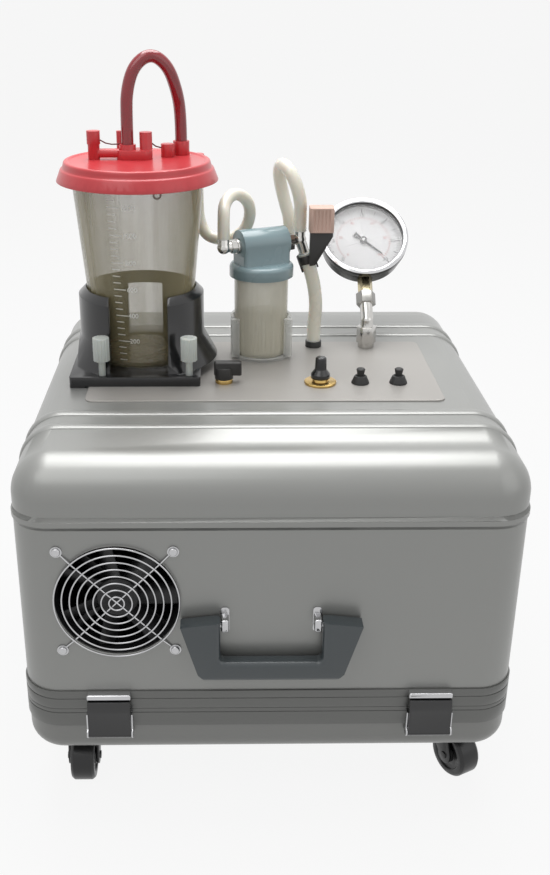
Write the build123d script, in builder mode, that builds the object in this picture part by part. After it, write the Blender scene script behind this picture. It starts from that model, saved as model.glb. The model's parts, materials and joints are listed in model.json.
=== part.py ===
"""Vacuum aspirator: a wheeled drawn-shell case with a collection canister, trap, gauge and controls on top.

Millimetres, +Z up, +X to the operator's right, front face towards -Y.
The origin is on the floor, under the middle of the overall box.
"""

from build123d import *
from math import cos, pi, radians, sin, sqrt, tan
import os

os.makedirs("parts", exist_ok=True)

# Case, scaled from the 104.8 mm square that the fan screws make
case_width = 472.0
case_depth = 484.0
case_bottom = 70.0
case_top = 382.0
case_corner = 36.0
top_rounding = 38.0
tray_rounding = 22.0
shell_wall = 2.0

# Levels of the joint band and of the hem
valance_split = 127.0
valance_height = 20.0
valance_proud = 1.6
valance_web = 3.0
split_gap = 0.3
hem_bottom = 319.5
hem_height = 13.0
hem_proud = 1.5

# Double ribs over the top shell, measured back from the front wall
rib_pitch = 32.0
front_rib_back = 90.0
rib_margin = 30.0
rib_half_width = 6.5
rib_height = 2.2
rib_foot = 340.0

# Reach of what stands out in front and behind
handle_reach = 18.0
hinge_barrel = 4.0
hinge_pin = 2.0
hinge_width = 60.0
hinge_spread = 300.0
hinge_clearance = 0.05

# Running and seating clearances
running = 0.06
seat = 0.1
apart = 0.3

# Cooling fan
fan_x = -case_width / 2 + 94.7
fan_z = 246.5
fan_size = 120.0
fan_thick = 25.0
fan_pitch = 104.8
fan_bore = 57.5
fan_hub = 20.0
fan_blades = 7
blade_tip = 55.0
blade_chord = 20.0
blade_pitch = 55.0
motor_radius = 19.0
fan_shaft = 2.5
guard_rings = 8
guard_inner = 7.0
guard_ring_pitch = 7.2
guard_wire = 0.9
guard_stand = 5.0
screw_radius = 2.1

# Carrying handle
handle_z = 227.0
handle_axis_out = 10.0
handle_inner = 47.0
handle_tip = 83.5
handle_low_corner = 61.0
handle_low = 169.5
grip_height = 20.0
handle_depth = 16.0
handle_pin = 3.0

# Latches
latch_x = 153.0
latch_width = 44.0
latch_axis_z = 104.0
latch_axis_out = 8.6
latch_barrel = 4.7
latch_pin = 2.0
lever_top = 140.7
latch_top = 147.5

# Casters
caster_x = 189.0
caster_inset = 76.0
caster_trail = 22.0
wheel_radius = 25.0
wheel_width = 24.0
axle_radius = 4.0
kingpin_radius = 4.0
fork_thick = 2.5
caster_turn = {"front_left": 0.0, "front_right": 28.0, "rear_left": 0.0, "rear_right": 0.0}

# Control panel overlay
panel_width = 360.0
panel_depth = 182.0
panel_x = -1.4
panel_front = 150.0
panel_thick = 1.5
panel_corner = 9.0

# Collection canister and its holder
canister_x = -130.0
canister_back = 268.0
plate_left = -201.0
plate_right = -67.0
plate_front = 189.0
plate_back = 345.0
plate_thick = 10.0
holder_radius = 66.0
holder_foot = 80.0
holder_foot_height = 26.5
holder_top = 469.0
holder_window = 60.0
holder_left_flat = 66.5
jar_foot_radius = 50.0
jar_rim_radius = 68.0
jar_height = 197.0
jar_wall = 2.2
jar_gap = 1.0
screw_head_radius = 8.4
screw_head_height = 24.0
screw_shank_radius = 3.6
screw_shank_height = 16.0
screw_spots = [(-167.5, 197.0), (-78.5, 197.0)]

# Canister lid
lid_skirt = 82.4
lid_disc = 75.6
lid_base_z = 579.0
lid_top_z = 599.0
lid_wall = 2.6

# Tubing
red_od = 12.6
cream_od = 13.0
loop_od = 14.0
vacuum_od = 15.0
tube_bore = 8.0

# Inline trap
trap_x = -2.0
trap_back = 293.0
trap_jar_radius = 29.3
trap_jar_top = 478.0
trap_turn = 25.0
cap_radius = 34.5
cap_base_z = 473.0
cap_skirt = 14.0
cap_bar_radius = 16.5
cap_bar_length = 54.0
cap_axis_z = 507.0
trap_sleeve = 30.2
trap_sleeve_wall = 3.0
trap_sleeve_height = 42.0
trap_foot = 3.0
tee_along = 46.3
elbow_along = 45.0
barb_radius = 3.9
barb_length = 8.0
shoulder = 9.0
vacuum_lean = (5.5, 0.8, -15.0)

# Vacuum gauge, leaning back on a 45 degree elbow
gauge_x = 118.0
gauge_foot_back = 314.0
gauge_lean = 45.0
gauge_elbow_z = 415.0
gauge_socket = 12.5
gauge_arm = 99.0
gauge_radius = 50.0
gauge_depth = 26.0
gauge_face_radius = 45.0
needle_length = 27.0
needle_tail = 13.0
needle_tail_half = 3.4
needle_rest = -40.0

# Panel controls
control_back = 199.0
valve_x = -42.7
regulator_x = 56.8
toggle_x = [98.3, 137.7]
port_x = 58.7
port_back = 316.6
toggle_ball = 4.55
toggle_pivot = 5.0

# Pump and its plate inside the case
chassis_z = 160.0
chassis_thick = 3.0
chassis_flange = 20.0
pump_x = 60.0
pump_back = 270.0
pump_motor_radius = 46.0
pump_motor_length = 120.0
pump_block = 84.0
pump_block_depth = 96.0
mount_height = 14.0
mount_radius = 11.0
mount_span_x = 176.0
mount_span_y = 100.0

# Mains inlet in the back wall
inlet_x = -150.0
inlet_z = 205.0

# Derived places
half_w = case_width / 2
hinge_out = valance_proud + hinge_barrel + 0.2
back_reach = hinge_out + hinge_barrel
front_y = (handle_reach - case_depth - back_reach) / 2
back_y = front_y + case_depth
mid_y = front_y + case_depth / 2
panel_z = case_top + panel_thick


def at_back(distance):
    """Y of a place that lies this far behind the front wall."""
    return front_y + distance


def case_outline(outset):
    """Rounded rectangle of the case, grown by outset, in the active sketch."""
    with Locations((0, mid_y)):
        RectangleRounded(case_width + 2 * outset, case_depth + 2 * outset, case_corner + outset)


def case_ring(low, high, outer, inner, mode=Mode.ADD):
    """Upright ring that follows the case between two outsets, added to or cut from the active part."""
    with BuildSketch(Plane.XY.offset(low)) as ring:
        with Locations((0, mid_y)):
            RectangleRounded(case_width + 2 * outer, case_depth + 2 * outer, case_corner + outer)
            RectangleRounded(
                case_width + 2 * inner, case_depth + 2 * inner, case_corner + inner, mode=Mode.SUBTRACT
            )
    extrude(ring.sketch, amount=high - low, mode=mode)


def save(build, name):
    """Label one finished piece and write it out."""
    build.part.label = name
    export_step(build.part, f"parts/{name}.step")


def tube_route(points):
    """Radii of the tangent arcs at each corner of a hand-chosen route."""
    radii = []
    for before, here, after in zip(points, points[1:], points[2:]):
        a = Vector(*here) - Vector(*before)
        b = Vector(*after) - Vector(*here)
        turn = radians(a.get_angle(b))
        radii.append(0.45 * min(a.length, b.length) / tan(turn / 2))
    return radii


def tube_solid(name, points, diameter, bore):
    """Plain hose along straight runs joined by tangent arcs."""
    radii = tube_route(points)
    with BuildPart() as hose:
        with BuildLine() as path:
            FilletPolyline(*points, radius=radii)
        start = Plane(origin=path.line @ 0, z_dir=path.line % 0)
        with BuildSketch(start):
            Circle(diameter / 2)
            if bore:
                Circle(bore / 2, mode=Mode.SUBTRACT)
        sweep(path=path.line)
    area = pi * (diameter**2 - bore**2) / 4
    length = sum(edge.length for edge in path.line.edges())
    print(
        f"{name}: length {length:.1f} mm, radii {[round(r, 1) for r in radii]},"
        f" volume ratio {hose.part.volume / (area * length):.4f}"
    )
    save(hose, name)
    return hose


# Bottom tray, the shallow half of the case
with BuildPart() as bottom_tray:
    with BuildSketch(Plane.XY.offset(case_bottom)):
        case_outline(0)
    extrude(amount=valance_split - split_gap / 2 - valance_web - case_bottom)
    fillet(bottom_tray.edges().group_by(Axis.Z)[0], radius=tray_rounding)
    offset(amount=-shell_wall, openings=bottom_tray.faces().sort_by(Axis.Z)[-1])
save(bottom_tray, "bottom_tray")


def valance(flange_low, flange_high, web_low, web_high, lip_low, lip_high, groove_level):
    """Channel rail round the case: outer flange, web across the shell's edge and inner flange."""
    with BuildPart() as rail:
        case_ring(flange_low, flange_high, valance_proud, seat / 2)
        case_ring(web_low, web_high, valance_proud, -shell_wall - 4)
        case_ring(lip_low, lip_high, -shell_wall - seat / 2, -shell_wall - 2.5)
        case_ring(
            groove_level, groove_level + 1.2, valance_proud + 1, valance_proud - 0.6, mode=Mode.SUBTRACT
        )
    return rail


# Joint band: two aluminium rails that meet at the split
lower_top = valance_split - split_gap / 2
upper_low = valance_split + split_gap / 2
lower_valance = valance(
    valance_split - valance_height,
    lower_top,
    lower_top - valance_web,
    lower_top,
    valance_split - valance_height + 4,
    lower_top - valance_web,
    valance_split - 5,
)
save(lower_valance, "lower_valance")
upper_valance = valance(
    upper_low,
    valance_split + valance_height,
    upper_low,
    upper_low + valance_web,
    upper_low + valance_web,
    valance_split + valance_height - 4,
    valance_split + 11,
)
save(upper_valance, "upper_valance")

# Body shell, the straight walls between the upper rail and the hem
shell_low = upper_low + valance_web
shell_high = hem_bottom + hem_height - 2
fan_axis = Plane(origin=(fan_x, front_y, fan_z), x_dir=(1, 0, 0), z_dir=(0, -1, 0))
inlet_plane = Plane(origin=(inlet_x, back_y, inlet_z), x_dir=(-1, 0, 0), z_dir=(0, 1, 0))
inlet_width = 30.0
inlet_height = 26.0
vent_plane = Plane(origin=(120, back_y, 235), x_dir=(-1, 0, 0), z_dir=(0, 1, 0))
with BuildPart() as body_shell:
    case_ring(shell_low, shell_high, 0, -shell_wall)
    with BuildSketch(fan_axis.offset(1)):
        Circle(fan_bore)
        with GridLocations(fan_pitch, fan_pitch, 2, 2):
            Circle(screw_radius + seat)
    extrude(amount=-shell_wall - 2, mode=Mode.SUBTRACT)
    with BuildSketch(inlet_plane.offset(1)):
        Rectangle(inlet_width, inlet_height)
    extrude(amount=-shell_wall - 2, mode=Mode.SUBTRACT)
    with BuildSketch(vent_plane.offset(1)):
        with GridLocations(0, 10, 1, 8):
            SlotOverall(90, 4)
    extrude(amount=-shell_wall - 2, mode=Mode.SUBTRACT)
save(body_shell, "body_shell")


def top_block(outset, low, rounding):
    """Solid of the top shell's outside, grown by outset, with its rounded upper edge."""
    with BuildPart() as block:
        with BuildSketch(Plane.XY.offset(low)):
            case_outline(outset)
        extrude(amount=case_top + outset - low)
        fillet(block.edges().group_by(Axis.Z)[-1], radius=rounding)
    return block.part


rib_backs = [
    front_rib_back,
    front_rib_back + rib_pitch,
    panel_front + panel_depth + rib_margin,
    panel_front + panel_depth + rib_margin + rib_pitch,
]
top_inside = top_block(-shell_wall, hem_bottom - 5, top_rounding - shell_wall)

# Top shell: drawn cover with two double ribs and a hem that laps over the body
with BuildPart() as top_shell:
    add(top_block(0, hem_bottom, top_rounding))
    for back in rib_backs:
        rib_y = at_back(back)
        with BuildLine() as rib_path:
            Line((-half_w, rib_y, rib_foot), (-half_w, rib_y, case_top - top_rounding))
            TangentArc(
                (-half_w, rib_y, case_top - top_rounding),
                (-half_w + top_rounding, rib_y, case_top),
                tangent=(0, 0, 1),
            )
            Line((-half_w + top_rounding, rib_y, case_top), (half_w - top_rounding, rib_y, case_top))
            TangentArc(
                (half_w - top_rounding, rib_y, case_top),
                (half_w, rib_y, case_top - top_rounding),
                tangent=(1, 0, 0),
            )
            Line((half_w, rib_y, case_top - top_rounding), (half_w, rib_y, rib_foot))
        with BuildSketch(Plane(origin=(-half_w, rib_y, rib_foot), x_dir=(1, 0, 0), z_dir=(0, 0, 1))):
            Ellipse(rib_height, rib_half_width)
        sweep(path=rib_path.line)
    case_ring(hem_bottom, hem_bottom + hem_height, hem_proud, -shell_wall)
    add(top_inside, mode=Mode.SUBTRACT)
    case_ring(hem_bottom - 1, shell_high, seat / 2, -shell_wall - 1, mode=Mode.SUBTRACT)
save(top_shell, "top_shell")


def on_front(x, z, out=0.0):
    """Plane on the front wall, looking out of it."""
    return Plane(origin=(x, front_y - out, z), x_dir=(1, 0, 0), z_dir=(0, -1, 0))


def revolve_profile(points, centre_x, centre_y):
    """Solid of revolution about an upright axis from (radius, height) points."""
    with BuildPart() as turned:
        with BuildSketch(Plane(origin=(centre_x, centre_y, 0), x_dir=(1, 0, 0), z_dir=(0, -1, 0))):
            with BuildLine():
                Polyline(*points, close=True)
            make_face()
        revolve(axis=Axis((centre_x, centre_y, 0), (0, 0, 1)))
    return turned.part


# Fan housing behind the front wall, with its motor on four struts
with BuildPart() as fan_frame:
    with BuildSketch(on_front(fan_x, fan_z, -shell_wall - apart)):
        RectangleRounded(fan_size, fan_size, 6)
        Circle(fan_bore, mode=Mode.SUBTRACT)
        with GridLocations(fan_pitch, fan_pitch, 2, 2):
            Circle(screw_radius, mode=Mode.SUBTRACT)
    extrude(amount=-fan_thick)
    with BuildSketch(on_front(fan_x, fan_z, -shell_wall - fan_thick)):
        Circle(motor_radius)
        with PolarLocations(0, 4, start_angle=45):
            with Locations((fan_bore / 2, 0)):
                Rectangle(fan_bore + 4, 7)
    extrude(amount=3)
    with BuildSketch(on_front(fan_x, fan_z, -shell_wall - fan_thick + 3)):
        Circle(fan_shaft)
    extrude(amount=16)
save(fan_frame, "fan_frame")

# Fan impeller: cup hub and cambered blades
impeller_back = shell_wall + fan_thick - 3.6
with BuildPart() as fan_impeller:
    with BuildSketch(on_front(fan_x, fan_z, -impeller_back)):
        Circle(fan_hub)
    extrude(amount=18)
    fillet(fan_impeller.edges().sort_by(Axis.Y)[0], radius=3)
    with BuildSketch(on_front(fan_x, fan_z, -impeller_back)):
        Circle(fan_shaft + running)
    extrude(amount=16, mode=Mode.SUBTRACT)
    for turn in range(fan_blades):
        swing = radians(360 / fan_blades * turn)
        outward = Vector(cos(swing), 0, sin(swing))
        root = Vector(fan_x, front_y + impeller_back - 9.5, fan_z) + outward * (fan_hub - 2)
        swirl = outward.cross(Vector(0, 1, 0))
        chord = Vector(0, cos(radians(blade_pitch)), 0) + swirl * sin(radians(blade_pitch))
        with BuildSketch(Plane(origin=root, x_dir=chord, z_dir=outward)):
            with BuildLine():
                ThreePointArc((-blade_chord / 2, 0), (0, 3.2), (blade_chord / 2, 0))
                ThreePointArc((blade_chord / 2, 0), (0, 1.4), (-blade_chord / 2, 0))
            make_face()
        extrude(amount=blade_tip - fan_hub + 2)
save(fan_impeller, "fan_impeller")

# Wire guard: rings on two crossed wires that end in flattened lugs
guard_plane = on_front(fan_x, fan_z, guard_stand)
with BuildPart() as fan_guard:
    for ring in range(guard_rings):
        ring_radius = guard_inner + ring * guard_ring_pitch
        with BuildSketch(guard_plane):
            Circle(ring_radius + guard_wire)
            Circle(ring_radius - guard_wire, mode=Mode.SUBTRACT)
        extrude(amount=-guard_wire * 1.6)
    for side in (45, 135):
        with BuildSketch(guard_plane.offset(-guard_wire)):
            with Locations(Rotation(0, 0, side)):
                Rectangle(fan_pitch * sqrt(2) - 18, 2 * guard_wire)
        extrude(amount=-guard_wire * 1.6)
    for sx in (-1, 1):
        for sz in (-1, 1):
            lug_x = fan_x + sx * fan_pitch / 2
            lug_z = fan_z + sz * fan_pitch / 2
            with BuildSketch(on_front(lug_x, lug_z)):
                Circle(5)
                Circle(screw_radius + seat, mode=Mode.SUBTRACT)
            extrude(amount=1.6)
            along = Vector(-sx, 0, -sz) / sqrt(2)
            with BuildSketch(Plane(origin=(lug_x, front_y, lug_z), x_dir=along, z_dir=(0, -1, 0))):
                with BuildLine():
                    Polyline((4, -0.9), (15, -0.9), (15, 0.9), (4, 0.9), close=True)
                make_face()
            extrude(amount=guard_stand - guard_wire)
save(fan_guard, "fan_guard")

# Four identical fan screws
with BuildPart() as fan_screws:
    with BuildSketch(on_front(fan_x, fan_z, 1.6)):
        with GridLocations(fan_pitch, fan_pitch, 2, 2):
            Circle(4)
    extrude(amount=2.2)
    fillet(fan_screws.edges().group_by(Axis.Y)[0], radius=1.4)
    with BuildSketch(on_front(fan_x, fan_z, 1.6)):
        with GridLocations(fan_pitch, fan_pitch, 2, 2):
            Circle(screw_radius - seat)
    extrude(amount=-1.6 - shell_wall - 12)
save(fan_screws, "fan_screws")

# Carrying handle: a moulded bail with wing-shaped arms
with BuildPart() as handle:
    with BuildSketch(on_front(0, 0, handle_axis_out - handle_depth / 2)):
        with BuildLine():
            Polyline(
                (-handle_inner, handle_z + 5.5),
                (-handle_tip, handle_z + 1.5),
                (-handle_low_corner - 7, handle_low + 7),
                (-handle_low_corner, handle_low),
                (handle_low_corner, handle_low),
                (handle_low_corner + 7, handle_low + 7),
                (handle_tip, handle_z + 1.5),
                (handle_inner, handle_z + 5.5),
                (handle_inner, handle_low + grip_height),
                (-handle_inner, handle_low + grip_height),
                close=True,
            )
        make_face()
    extrude(amount=handle_depth)
    inner_corners = (
        handle.edges()
        .filter_by(Axis.Y)
        .filter_by(lambda e: abs(abs(e.center().X) - handle_inner) < 0.1 and e.center().Z < handle_z - 5)
    )
    fillet(inner_corners, radius=5)
    fillet(handle.edges().filter_by(lambda e: abs(e.center().Z - handle_low) < 0.1), radius=4)
    grip_edges = handle.edges().filter_by(
        lambda e: abs(e.center().Z - handle_low - grip_height) < 0.1 and e.length > 40
    )
    fillet(grip_edges, radius=5)
    with BuildSketch(
        Plane(origin=(-handle_inner - 16, front_y - handle_axis_out, handle_z), z_dir=(1, 0, 0))
    ):
        Circle(handle_pin + running)
    extrude(amount=16, mode=Mode.SUBTRACT)
    with BuildSketch(
        Plane(origin=(handle_inner + 16, front_y - handle_axis_out, handle_z), z_dir=(-1, 0, 0))
    ):
        Circle(handle_pin + running)
    extrude(amount=16, mode=Mode.SUBTRACT)
save(handle, "handle")

# Two chrome posts that carry the handle
with BuildPart() as handle_posts:
    for side in (-1, 1):
        post_x = side * (handle_inner - 4.4)
        with BuildSketch(on_front(post_x, handle_z)):
            RectangleRounded(8, 26, 3)
        extrude(amount=1.6)
        with BuildSketch(on_front(post_x, handle_z)):
            RectangleRounded(7, 13, 2)
        extrude(amount=handle_axis_out + 4)
        with BuildSketch(
            Plane(origin=(post_x, front_y - handle_axis_out, handle_z), z_dir=(side, 0, 0))
        ):
            Circle(handle_pin)
        extrude(amount=4.4 + 14)
    fillet(handle_posts.edges().filter_by(Axis.X).group_by(Axis.Y)[0], radius=2)
save(handle_posts, "handle_posts")


# Latches: chrome base with a hinge pin on the lower rail
band_front = front_y - valance_proud
with BuildPart() as latch_bases:
    for side in (-1, 1):
        centre = side * latch_x
        with BuildSketch(Plane(origin=(centre, band_front, 0), x_dir=(1, 0, 0), z_dir=(0, -1, 0))):
            with Locations((0, 112.0)):
                Rectangle(latch_width, 27)
        extrude(amount=1.5)
        for ear in (-1, 1):
            ear_x = centre + ear * (latch_width / 2 - 0.75)
            with BuildSketch(Plane(origin=(ear_x, 0, 0), x_dir=(0, 1, 0), z_dir=(1, 0, 0))):
                with Locations((band_front - 4, 112.0)):
                    Rectangle(8, 27)
                with Locations((front_y - latch_axis_out, latch_axis_z)):
                    Circle(latch_barrel)
            extrude(amount=0.75, both=True)
        with BuildSketch(
            Plane(origin=(centre - latch_width / 2, front_y - latch_axis_out, latch_axis_z), z_dir=(1, 0, 0))
        ):
            Circle(latch_pin)
        extrude(amount=latch_width)
save(latch_bases, "latch_bases")

# Latch levers: black covers that turn on the pins
lever_half = latch_width / 2 - 1.5 - apart
for side, name in ((-1, "latch_lever_left"), (1, "latch_lever_right")):
    with BuildPart() as lever:
        with BuildSketch(Plane(origin=(side * latch_x, 0, 0), x_dir=(0, 1, 0), z_dir=(1, 0, 0))):
            with BuildLine():
                Polyline(
                    (front_y - latch_axis_out + 3.6, latch_axis_z + 2),
                    (front_y - 5.0, lever_top),
                    (front_y - 11.0, lever_top),
                    (front_y - 13.0, lever_top - 9),
                    (front_y - latch_axis_out - latch_barrel, latch_axis_z),
                    (front_y - latch_axis_out, latch_axis_z),
                    close=True,
                )
            make_face()
            with Locations((front_y - latch_axis_out, latch_axis_z)):
                Circle(latch_barrel)
        extrude(amount=lever_half, both=True)
        with BuildSketch(
            Plane(origin=(side * latch_x, front_y - latch_axis_out, latch_axis_z), z_dir=(1, 0, 0))
        ):
            Circle(latch_pin + running)
        extrude(amount=lever_half + 1, both=True, mode=Mode.SUBTRACT)
    save(lever, name)

# Keepers on the upper rail: a raised lip above each lever
with BuildPart() as latch_keepers:
    for side in (-1, 1):
        with BuildSketch(
            Plane(origin=(side * latch_x, band_front, 0), x_dir=(1, 0, 0), z_dir=(0, -1, 0))
        ):
            with Locations((0, (lever_top + 0.6 + latch_top) / 2)):
                RectangleRounded(latch_width - 2, latch_top - lever_top - 0.6, 2)
        extrude(amount=8)
    fillet(latch_keepers.edges().filter_by(Axis.X).group_by(Axis.Y)[0], radius=2)
save(latch_keepers, "latch_keepers")

# Rear hinges
hinge_y = back_y + hinge_out
hinge_third = hinge_width / 5


def leaf_plane(centre):
    """Plane on the rear rail, looking backwards, for a hinge leaf."""
    return Plane(origin=(centre, back_y + valance_proud, 0), x_dir=(-1, 0, 0), z_dir=(0, 1, 0))


def knuckle_plane(x):
    """Plane across the hinge's axis at this X."""
    return Plane(origin=(x, hinge_y, valance_split), x_dir=(0, 1, 0), z_dir=(1, 0, 0))


with BuildPart() as hinge_lower:
    for side in (-1, 1):
        centre = side * hinge_spread / 2
        with BuildSketch(leaf_plane(centre)):
            with Locations((0, valance_split - 1 - 8)):
                Rectangle(hinge_width, 16)
        extrude(amount=1.5)
        for slot in (-2, 0, 2):
            with BuildSketch(knuckle_plane(centre + slot * hinge_third)):
                Circle(hinge_barrel)
                with Locations((-hinge_barrel / 2 - 0.5, -hinge_barrel / 2 - 0.6)):
                    Rectangle(hinge_barrel - 0.6, hinge_barrel)
            extrude(amount=hinge_third / 2 - seat, both=True)
        for slot in (-1, 1):
            with BuildSketch(knuckle_plane(centre + slot * hinge_third)):
                Circle(hinge_barrel + apart)
            extrude(amount=hinge_third / 2 + seat, both=True, mode=Mode.SUBTRACT)
        with BuildSketch(knuckle_plane(centre - hinge_width / 2)):
            Circle(hinge_pin)
        extrude(amount=hinge_width)
save(hinge_lower, "hinge_lower_leaves")

with BuildPart() as hinge_upper:
    for side in (-1, 1):
        centre = side * hinge_spread / 2
        with BuildSketch(leaf_plane(centre)):
            with Locations((0, valance_split + 1 + 8)):
                Rectangle(hinge_width, 16)
        extrude(amount=1.5)
        for slot in (-1, 1):
            with BuildSketch(knuckle_plane(centre + slot * hinge_third)):
                Circle(hinge_barrel)
                with Locations((-hinge_barrel / 2 - 0.5, hinge_barrel / 2 + 0.6)):
                    Rectangle(hinge_barrel - 0.6, hinge_barrel)
            extrude(amount=hinge_third / 2 - seat, both=True)
        for slot in (-2, 0, 2):
            with BuildSketch(knuckle_plane(centre + slot * hinge_third)):
                Circle(hinge_barrel + apart)
            extrude(amount=hinge_third / 2 + seat, both=True, mode=Mode.SUBTRACT)
        with BuildSketch(knuckle_plane(centre - hinge_width / 2)):
            Circle(hinge_pin + hinge_clearance)
        extrude(amount=hinge_width, mode=Mode.SUBTRACT)
save(hinge_upper, "hinge_upper_leaves")


# Casters: plate and kingpin on the tray, fork, wheel
caster_spots = {
    "front_left": (-caster_x, at_back(caster_inset)),
    "front_right": (caster_x, at_back(caster_inset)),
    "rear_left": (-caster_x, at_back(case_depth - caster_inset)),
    "rear_right": (caster_x, at_back(case_depth - caster_inset)),
}
race_low = case_bottom - 8.5
crown_high = race_low - apart
crown_low = crown_high - 3
with BuildPart() as caster_plates:
    for x, y in caster_spots.values():
        with BuildSketch(Plane.XY.offset(case_bottom - 2.5)):
            with Locations((x, y)):
                RectangleRounded(50, 58, 5)
        extrude(amount=2.5)
        with BuildSketch(Plane.XY.offset(race_low)):
            with Locations((x, y)):
                Circle(19)
        extrude(amount=case_bottom - 2.5 - race_low)
        with BuildSketch(Plane.XY.offset(crown_low - apart - 2.5)):
            with Locations((x, y)):
                Circle(kingpin_radius)
        extrude(amount=race_low - crown_low + apart + 2.5)
        with BuildSketch(Plane.XY.offset(crown_low - apart - 2.5)):
            with Locations((x, y)):
                Circle(8)
        extrude(amount=2.5)
save(caster_plates, "caster_plates")

leg_inner = wheel_width / 2 + 1.2
for spot, (x, y) in caster_spots.items():
    turned = Plane(origin=(x, y, 0)).rotated((0, 0, caster_turn[spot]))
    side_plane = Plane(origin=(x, y, 0), x_dir=-turned.y_dir, z_dir=-turned.x_dir)
    with BuildPart() as fork:
        with BuildSketch(turned.offset(crown_low)):
            Circle(18)
            with Locations((0, -9)):
                Rectangle(2 * (leg_inner + fork_thick), 22)
            Circle(kingpin_radius + running, mode=Mode.SUBTRACT)
        extrude(amount=crown_high - crown_low)
        for leg in (-1, 1):
            with BuildSketch(side_plane.offset(leg * (leg_inner + fork_thick / 2))):
                with BuildLine():
                    Polyline(
                        (-7, crown_high),
                        (20, crown_high),
                        (caster_trail + 9, wheel_radius + 4),
                        (caster_trail + 9, wheel_radius),
                        (caster_trail, wheel_radius - 9),
                        (caster_trail - 9, wheel_radius),
                        (-7, crown_low - 8),
                        close=True,
                    )
                make_face()
                with Locations((caster_trail, wheel_radius)):
                    Circle(9)
            extrude(amount=fork_thick / 2, both=True)
        with BuildSketch(side_plane.offset(-leg_inner - fork_thick - 1.5)):
            with Locations((caster_trail, wheel_radius)):
                Circle(axle_radius)
        extrude(amount=2 * (leg_inner + fork_thick + 1.5))
    save(fork, f"caster_fork_{spot}")

    with BuildPart() as wheel:
        with BuildSketch(turned):
            with BuildLine():
                Polyline(
                    (axle_radius + running, -wheel_width / 2 - 0.6),
                    (9, -wheel_width / 2 - 0.6),
                    (9, -wheel_width / 2 + 2),
                    (16, -wheel_width / 2 + 2),
                    (17.5, -wheel_width / 2),
                    (wheel_radius - 2.5, -wheel_width / 2),
                    (wheel_radius, -wheel_width / 2 + 3),
                    (wheel_radius, wheel_width / 2 - 3),
                    (wheel_radius - 2.5, wheel_width / 2),
                    (17.5, wheel_width / 2),
                    (16, wheel_width / 2 - 2),
                    (9, wheel_width / 2 - 2),
                    (9, wheel_width / 2 + 0.6),
                    (axle_radius + running, wheel_width / 2 + 0.6),
                    close=True,
                )
            make_face()
        revolve(axis=Axis((x, y, 0), turned.y_dir))
    rolled = wheel.part.moved(Location(-Vector(x, y, 0)))
    rolled = rolled.moved(Location((0, 0, 0), (0, 0, 90)))
    away = -turned.y_dir * caster_trail
    rolled = rolled.moved(Location(Vector(x, y, wheel_radius) + away))
    with BuildPart() as placed_wheel:
        add(rolled)
    save(placed_wheel, f"caster_wheel_{spot}")


# Control panel overlay on the flat of the top
panel_mid_y = at_back(panel_front + panel_depth / 2)
valve_spot = (valve_x, at_back(control_back + 3))
regulator_spot = (regulator_x, at_back(control_back))
toggle_spots = [(x, at_back(control_back)) for x in toggle_x]
with BuildPart() as control_panel:
    with BuildSketch(Plane.XY.offset(case_top)):
        with Locations((panel_x, panel_mid_y)):
            RectangleRounded(panel_width, panel_depth, panel_corner)
        with Locations(*[(x, at_back(back)) for x, back in screw_spots]):
            Circle(screw_shank_radius + seat, mode=Mode.SUBTRACT)
    extrude(amount=panel_thick)
    fillet(control_panel.edges().group_by(Axis.Z)[-1].filter_by(lambda e: e.length > 12), radius=0.8)
save(control_panel, "control_panel")

# Canister holder: base plate, flared foot and split bucket with a front window and a rear slot
canister_y = at_back(canister_back)
plate_low = panel_z
plate_high = plate_low + plate_thick
jar_taper = (jar_rim_radius - jar_foot_radius) / jar_height
jar_low = plate_high
with BuildPart() as canister_holder:
    with BuildSketch(Plane.XY.offset(plate_low)):
        with Locations(((plate_left + plate_right) / 2, at_back((plate_front + plate_back) / 2))):
            RectangleRounded(plate_right - plate_left, plate_back - plate_front, 3)
    extrude(amount=plate_thick)
    with BuildSketch(Plane.XY.offset(case_top)):
        with Locations((plate_left + 8.5, at_back((plate_front + plate_back) / 2))):
            RectangleRounded(17, plate_back - plate_front, 3)
    extrude(amount=panel_thick)
    with BuildSketch(Plane.XY.offset(plate_high)):
        with Locations((canister_x, canister_y)):
            Circle(holder_foot)
    with BuildSketch(Plane.XY.offset(plate_high + holder_foot_height)):
        with Locations((canister_x, canister_y)):
            Circle(holder_radius)
    loft()
    with BuildSketch(Plane.XY.offset(plate_high)):
        with Locations((canister_x, canister_y)):
            Circle(holder_radius)
    extrude(amount=holder_top - plate_high)
    chamfer(canister_holder.edges().group_by(Axis.Z)[-1], length=7)
    with BuildSketch(Plane.XY.offset(plate_high)):
        with Locations((canister_x - holder_left_flat - 20, canister_y)):
            Rectangle(40, 200)
        with Locations((canister_x, canister_y - holder_radius - 13)):
            Rectangle(200, 20)
    extrude(amount=holder_foot_height, mode=Mode.SUBTRACT)
    add(
        revolve_profile(
            [
                (0, plate_high),
                (jar_foot_radius + jar_gap, plate_high),
                (jar_foot_radius + jar_gap + jar_taper * (holder_top + 1 - plate_high), holder_top + 1),
                (0, holder_top + 1),
            ],
            canister_x,
            canister_y,
        ),
        mode=Mode.SUBTRACT,
    )
    with BuildSketch(Plane.XY.offset(plate_high)):
        with Locations((canister_x, canister_y - holder_radius)):
            Rectangle(holder_window, 2 * holder_radius)
    extrude(amount=holder_top - plate_high + 1, mode=Mode.SUBTRACT)
    with BuildSketch(Plane.XY.offset(plate_high + 6)):
        with Locations((canister_x, canister_y + holder_radius)):
            Rectangle(38, 60)
    extrude(amount=56, mode=Mode.SUBTRACT)
    for x, back in screw_spots:
        with BuildSketch(Plane.XY.offset(case_top)):
            with Locations((x, at_back(back))):
                Circle(screw_shank_radius + seat)
        extrude(amount=plate_thick + screw_shank_height, mode=Mode.SUBTRACT)
save(canister_holder, "canister_holder")

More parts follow.
